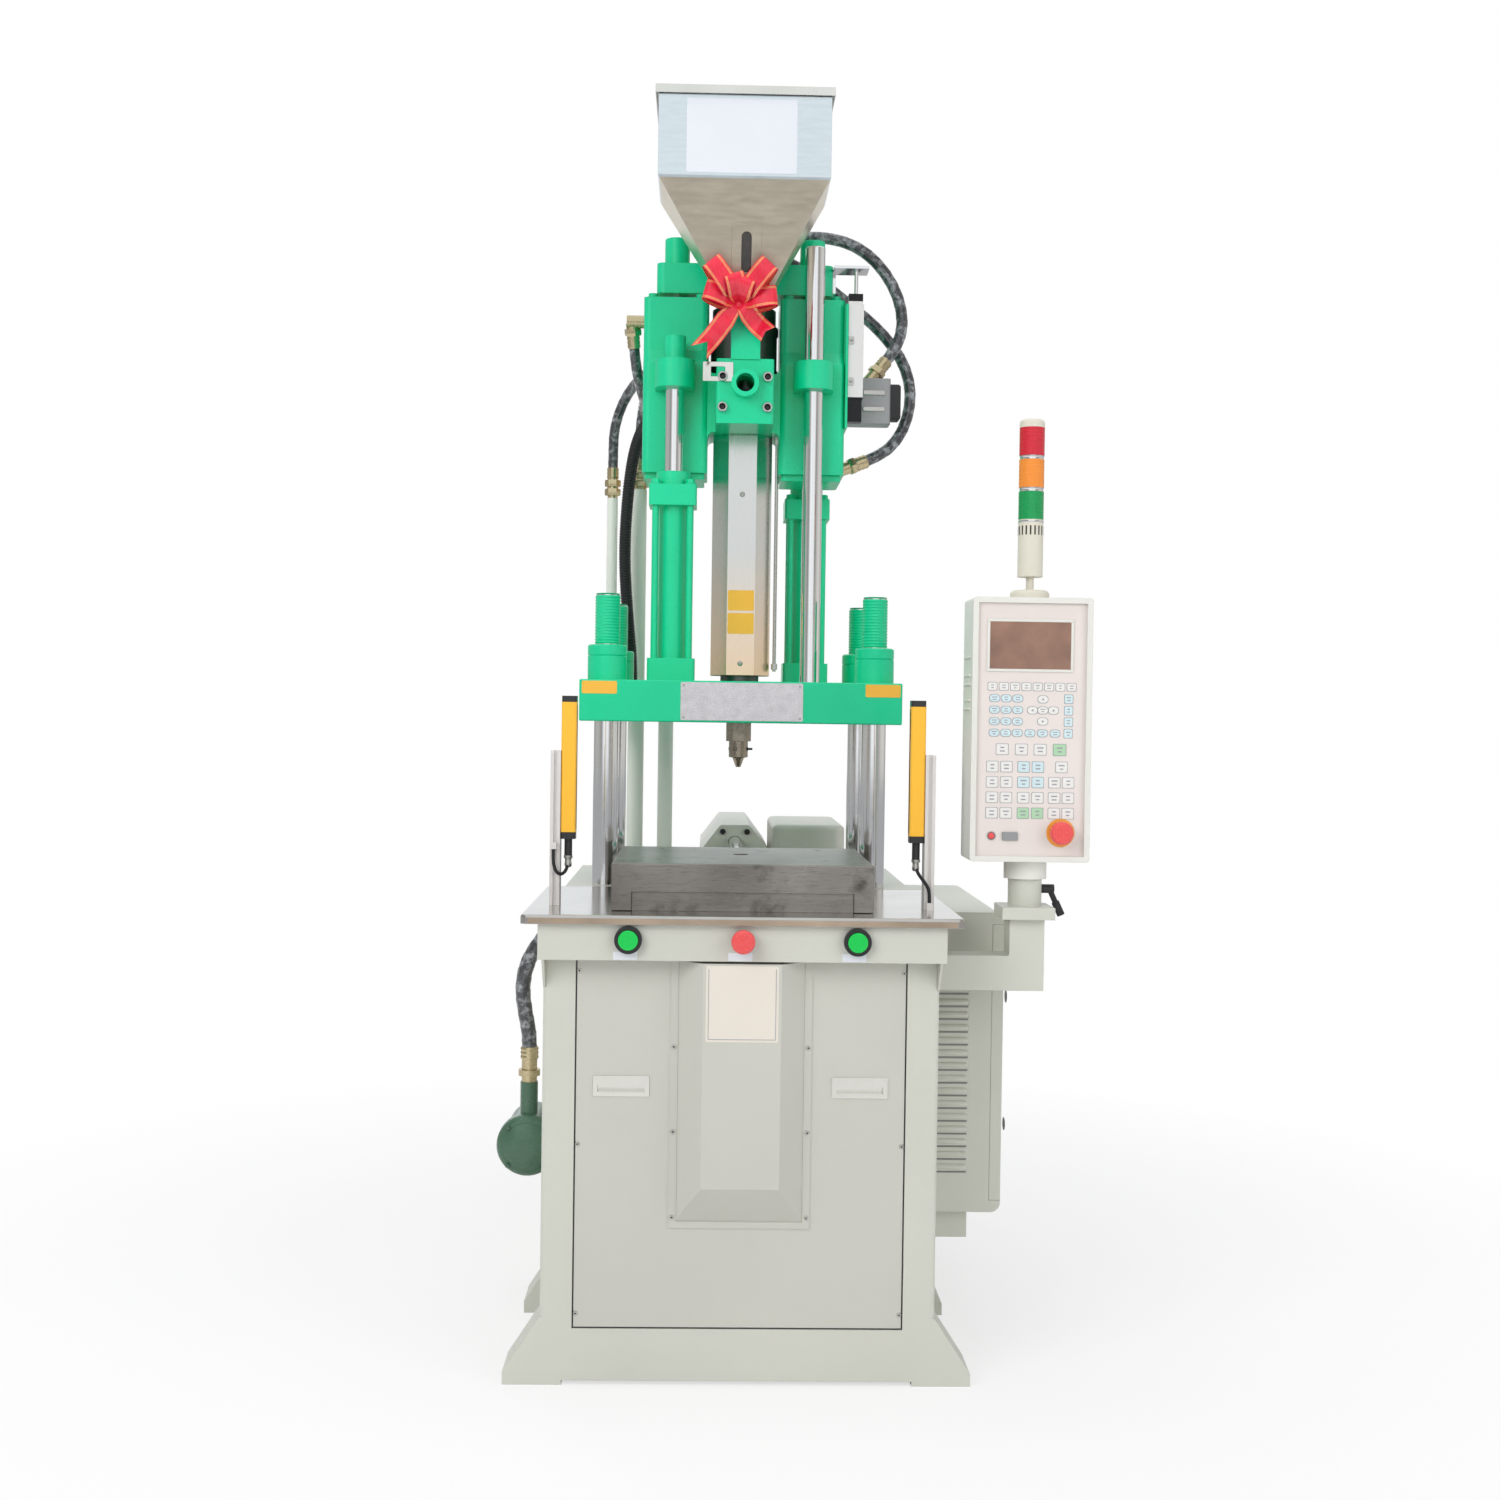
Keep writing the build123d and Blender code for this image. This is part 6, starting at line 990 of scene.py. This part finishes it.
# Controller: a screwed cover with louvres on its back
BACK_SIZE, BACK_LOUVRE = (0.17, 0.42, 0.0018, 0.006, 0.0006), (0.09, 0.006, 0.003, 0.0028, 0.0018)
BACK_LOUVRE_RISES, BACK_REACH = [0.09 + 0.012 * k for k in range(7)], (0.076, 0.201)
back = Vector((shell_middle.x, shell_high.y, shell_middle.z))
back_face = back + Vector((0, BACK_SIZE[2], 0))
back_plates = [(back, BACK_SIZE, REAR)]
back_plates += [(back_face + Vector((0, 0, rise)), BACK_LOUVRE, REAR) for rise in BACK_LOUVRE_RISES]
group("controller_back", "controller", shell_white, plate, back_plates, ROUND_SHARP)
back_screws = [
    (back_face + Vector((x * BACK_REACH[0], 0, z * BACK_REACH[1])), (0, 1, 0), *SCREW)
    for x in SIDES
    for z in (-1, 0, 1)
]
group("controller_screws", "controller", zinc, pan_screw, back_screws)

# Position sensor: clamps at its side
CLAMP_INSET, CLAMP_HEIGHTS, CLAMP_SIZE = 0.006, (1.848, 1.932), (0.012, 0.016, 0.002, 0.002, 0.0006)
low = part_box("position_sensor")[0]
bm = bmesh.new()
for z in CLAMP_HEIGHTS:
    place = Vector((low.x + CLAMP_INSET, low.y, z))
    plate(bm, place, CLAMP_SIZE)
    pan_screw(bm, place + Vector(FRONT) * CLAMP_SIZE[2], FRONT, 3.5, 2)
piece("sensor_clamps", bm, "injection_unit", zinc)

# Connector: two latch bows and its dark back
LATCH_SIZE, CONNECTOR_BACK = (0.046, 0.010, 0.003, 0.003, 0.001), (0.044, 0.074, 0.022, 0.006, 0.004)
LATCH_INSET, LATCH_MARGIN = 0.035, 0.03
low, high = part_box("connector_box")
middle = (low + high) / 2
latch_heights = (low.z + LATCH_MARGIN, high.z - LATCH_MARGIN)
latches = [((high.x - LATCH_INSET, low.y, z), LATCH_SIZE) for z in latch_heights]
connector_back = ((high.x, middle.y, middle.z), CONNECTOR_BACK, RIGHT)
group("connector_latches", "injection_unit", zinc, plate, latches)
group("connector_back", "injection_unit", black, plate, [connector_back])

# Ribbon bow: satin loops and two tails with gold lines near their edges
KNOT = at(-15, -226, 1966)
KNOT_BALL, KNOT_REACH = ((0, -9), (6, -8), (9.5, 0), (6, 8), (0, 9)), 0.003
RIBBON, RIBBON_DEPTH = 0.040, 0.0005
ACROSS_SHARES = (0.0, 0.06, 0.085, 0.12, 0.145, 0.5, 0.855, 0.88, 0.915, 0.94, 1.0)
GOLD_STRIPS = (1, 3, 6, 8)
# Each loop's angle, reach, lean, depth and twist, and each tail's angle, length, drop and notch
BOW_LOOPS = (
    (128, 0.104, 0.62, 0.017, 0.1), (50, 0.104, 0.62, 0.017, -0.1), (161, 0.074, 0.45, 0.016, 0.15),
    (9, 0.078, 0.45, 0.016, -0.15), (104, 0.066, 0.95, 0.012, 0.2), (72, 0.060, 1.05, 0.012, -0.2),
)
BOW_TAILS = ((230, 0.120, 0.006, 0.030), (316, 0.080, 0.004, 0.008))
LOOP_STEPS, LOOP_START, LOOP_WAIST = 30, 0.004, 0.45
TAIL_STEPS, TAIL_WAIST, TAIL_REACH, TAIL_WAVE = 18, 0.5, 0.006, 0.008


def ribbon(bm, points, sides, outs, notch=0.0):
    """A thin closed strip along points, with its width along sides, its thickness along outs and a notched end."""
    layers = []
    last, strips = len(points) - 1, len(ACROSS_SHARES) - 1
    tip = (points[last] - points[last - 1]).normalized()
    for lift in (0.0, RIBBON_DEPTH):
        rows = []
        for row, (p, s, o) in enumerate(zip(points, sides, outs)):
            cut = tip * notch * (row / last) ** 5
            rows.append([
                bm.verts.new(p + s * RIBBON * (share - 0.5) + o * lift - cut * (1 - abs(2 * share - 1)))
                for share in ACROSS_SHARES
            ])
        layers.append(rows)
    lower, upper = layers
    for row in range(last):
        for k in range(strips):
            for layer, turn in ((upper, 1), (lower, -1)):
                loop = [layer[row][k], layer[row][k + 1], layer[row + 1][k + 1], layer[row + 1][k]]
                bm.faces.new(loop[::turn]).material_index = 1 if k in GOLD_STRIPS else 0
        for k in (0, strips):
            bm.faces.new([lower[row][k], lower[row + 1][k], upper[row + 1][k], upper[row][k]])
    for row in (0, last):
        for k in range(strips):
            bm.faces.new([lower[row][k], lower[row][k + 1], upper[row][k + 1], upper[row][k]])


def bow_loop(bm, angle, reach, lean, depth, twist):
    """A loop of ribbon that leaves the knot at an angle, leans forward and comes back behind itself."""
    angle = math.radians(angle)
    out = Vector((math.cos(angle), -lean, math.sin(angle))).normalized()
    side = Vector((-math.sin(angle), -twist, math.cos(angle))).normalized()
    side = (side - out * side.dot(out)).normalized()
    rise = out.cross(side)
    if rise.y > 0:
        rise = -rise
    points, outs, sides = [], [], []
    for k in range(LOOP_STEPS + 1):
        t = 2 * math.pi * k / LOOP_STEPS
        away = 1 - math.cos(t)
        pinch = min(1.0, away / 0.9) ** 0.7
        points.append(KNOT + out * (LOOP_START + reach * away / 2) + rise * depth * math.sin(t) * pinch)
        sides.append(side * (LOOP_WAIST + (1 - LOOP_WAIST) * min(1.0, away / 0.7)))
    for k in range(LOOP_STEPS + 1):
        way = (points[min(k + 1, LOOP_STEPS)] - points[max(k - 1, 0)]).normalized()
        outs.append(side.cross(way))
    ribbon(bm, points, sides, outs)


def bow_tail(bm, angle, length, drop, notch):
    """A hanging ribbon end with a notched tip."""
    angle = math.radians(angle)
    out = Vector((math.cos(angle), 0, math.sin(angle)))
    side = Vector((-math.sin(angle), 0, math.cos(angle)))
    points, sides = [], []
    for k in range(TAIL_STEPS + 1):
        t = k / TAIL_STEPS
        wave = Vector((0, -TAIL_REACH - TAIL_WAVE * math.sin(2.4 * math.pi * t), -drop * t * t))
        points.append(KNOT + out * length * t + wave)
        sides.append(side * (TAIL_WAIST + (1 - TAIL_WAIST) * min(1.0, 3 * t)))
    ribbon(bm, points, sides, [Vector(FRONT)] * len(points), notch)


satin = surface(
    "red satin", (0.80, 0.016, 0.05), 0.16, 0.26, 0.08, patch=26, stretch=(3, 3, 0.6), grain=70, bump=0.15,
    coat=0.5, coat_rough=0.2,
)
gold = surface("gold line", (0.95, 0.62, 0.22), 0.1, 0.35, 0.1, 0.5, grain=300)
bm = bmesh.new()
for loop in BOW_LOOPS:
    bow_loop(bm, *loop)
for tail in BOW_TAILS:
    bow_tail(bm, *tail)
turned(bm, KNOT_BALL, KNOT + Vector(FRONT) * KNOT_REACH, FRONT, 14)
bow = piece("satin_bow", bm, "injection_unit", satin, ROUND_SHARP)
bow.data.materials.append(gold)
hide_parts("ribbon_bow")


# Stage: a pale floor and a white surround, which metal mirrors as a pale room with darker sides
def mix_shaders(tree, share, first, second):
    """A shader that goes from the first to the second by a share."""
    made = add_node(tree, "MixShader")
    for socket, source in zip(made.inputs, (share, first.outputs[0], second.outputs[0])):
        tree.links.new(source, socket)
    return made


def end_tree(tree, kind, shader):
    """Ends a node tree in its output node."""
    tree.links.new(shader.outputs[0], tree.nodes.new(kind).inputs[0])


WHITE = (1.0, 1.0, 1.0, 1.0)
SKY_COLOUR, SKY_STRENGTH, ROOM_STRENGTH = (0.95, 0.97, 1.0, 1.0), 0.5, 1.18
ROOM_STOPS = [
    (0.0, (0.42, 0.42, 0.40)), (0.17, (0.24, 0.24, 0.23)), (0.34, (0.92, 0.94, 0.95)), (0.5, (0.77, 0.81, 0.83)),
    (0.66, (0.88, 0.88, 0.88)), (0.8, (0.24, 0.23, 0.22)), (1.0, (0.62, 0.61, 0.58)),
]
world = bpy.data.worlds.new("surround")
scene.world = world
world.use_nodes = True
tree = world.node_tree
tree.nodes.clear()
rays = add_node(tree, "LightPath").outputs
seen = add_node(tree, "Math", {"operation": "MAXIMUM"}, Value=rays["Is Camera Ray"])
tree.links.new(rays["Is Transmission Ray"], seen.inputs[1])
soft = add_node(tree, "Background", Color=SKY_COLOUR, Strength=SKY_STRENGTH)
white = add_node(tree, "Background", Color=WHITE, Strength=1.0)
way = add_node(tree, "TexCoord").outputs["Generated"]
aside = add_node(tree, "SeparateXYZ", Vector=way).outputs["X"]
room = ramp(tree, spread(tree, aside, -1.0, 1.0, 0.0, 1.0), ROOM_STOPS)
mirror = add_node(tree, "Background", Color=room, Strength=ROOM_STRENGTH)
unseen = mix_shaders(tree, rays["Is Glossy Ray"], soft, mirror)
end_tree(tree, "ShaderNodeOutputWorld", mix_shaders(tree, seen.outputs[0], unseen, white))

FLOOR, FLOOR_COLOUR = 30.0, (0.86, 0.86, 0.85, 1.0)
GLOW_NEAR, GLOW_FAR, GLOW_LEAST = 0.9, 2.2, 0.66
floor_look = bpy.data.materials.new("floor")
floor_look.use_nodes = True
tree = floor_look.node_tree
tree.nodes.clear()
rays = add_node(tree, "LightPath").outputs
matt = add_node(tree, "BsdfDiffuse", Color=FLOOR_COLOUR)
glow = add_node(tree, "Emission", Color=WHITE, Strength=1.0)
place = add_node(tree, "TexCoord").outputs["Object"]
away = add_node(tree, "VectorMath", {"operation": "LENGTH"}, Vector=place).outputs["Value"]
share = add_node(tree, "Math", {"operation": "MULTIPLY"}, Value=rays["Is Camera Ray"])
tree.links.new(spread(tree, away, GLOW_NEAR, GLOW_FAR, GLOW_LEAST, 1.0), share.inputs[1])
end_tree(tree, "ShaderNodeOutputMaterial", mix_shaders(tree, share.outputs[0], matt, glow))
floor_mesh = bpy.data.meshes.new("floor")
floor_mesh.from_pydata(
    [(-FLOOR, -FLOOR, 0), (FLOOR, -FLOOR, 0), (FLOOR, FLOOR, 0), (-FLOOR, FLOOR, 0)], [], [(0, 1, 2, 3)]
)
floor_mesh.materials.append(floor_look)
linked("floor", floor_mesh)

# Studio lamps: place, aim, size and power; sheet metal mirrors the room, not the lamps
LAMPS = (
    ("key", (-2.6, -3.6, 3.2), (0, 0, 1.2), 2.6, 100),
    ("fill", (3.2, -3.2, 2.0), (0, 0, 1.1), 2.8, 54),
    ("top", (0.2, -0.6, 5.0), (0, 0, 1.0), 2.6, 46),
    ("back", (-1.5, 3.8, 3.0), (0, 0, 1.2), 2.4, 46),
)
for name, place, aim, size, power in LAMPS:
    lamp_data = bpy.data.lights.new(name, "AREA")
    lamp_data.size = size
    lamp_data.energy = power
    lamp = linked(name, lamp_data)
    lamp.location = place
    lamp.visible_glossy = False
    lamp.rotation_euler = (Vector(aim) - Vector(place)).to_track_quat("-Z", "Y").to_euler()
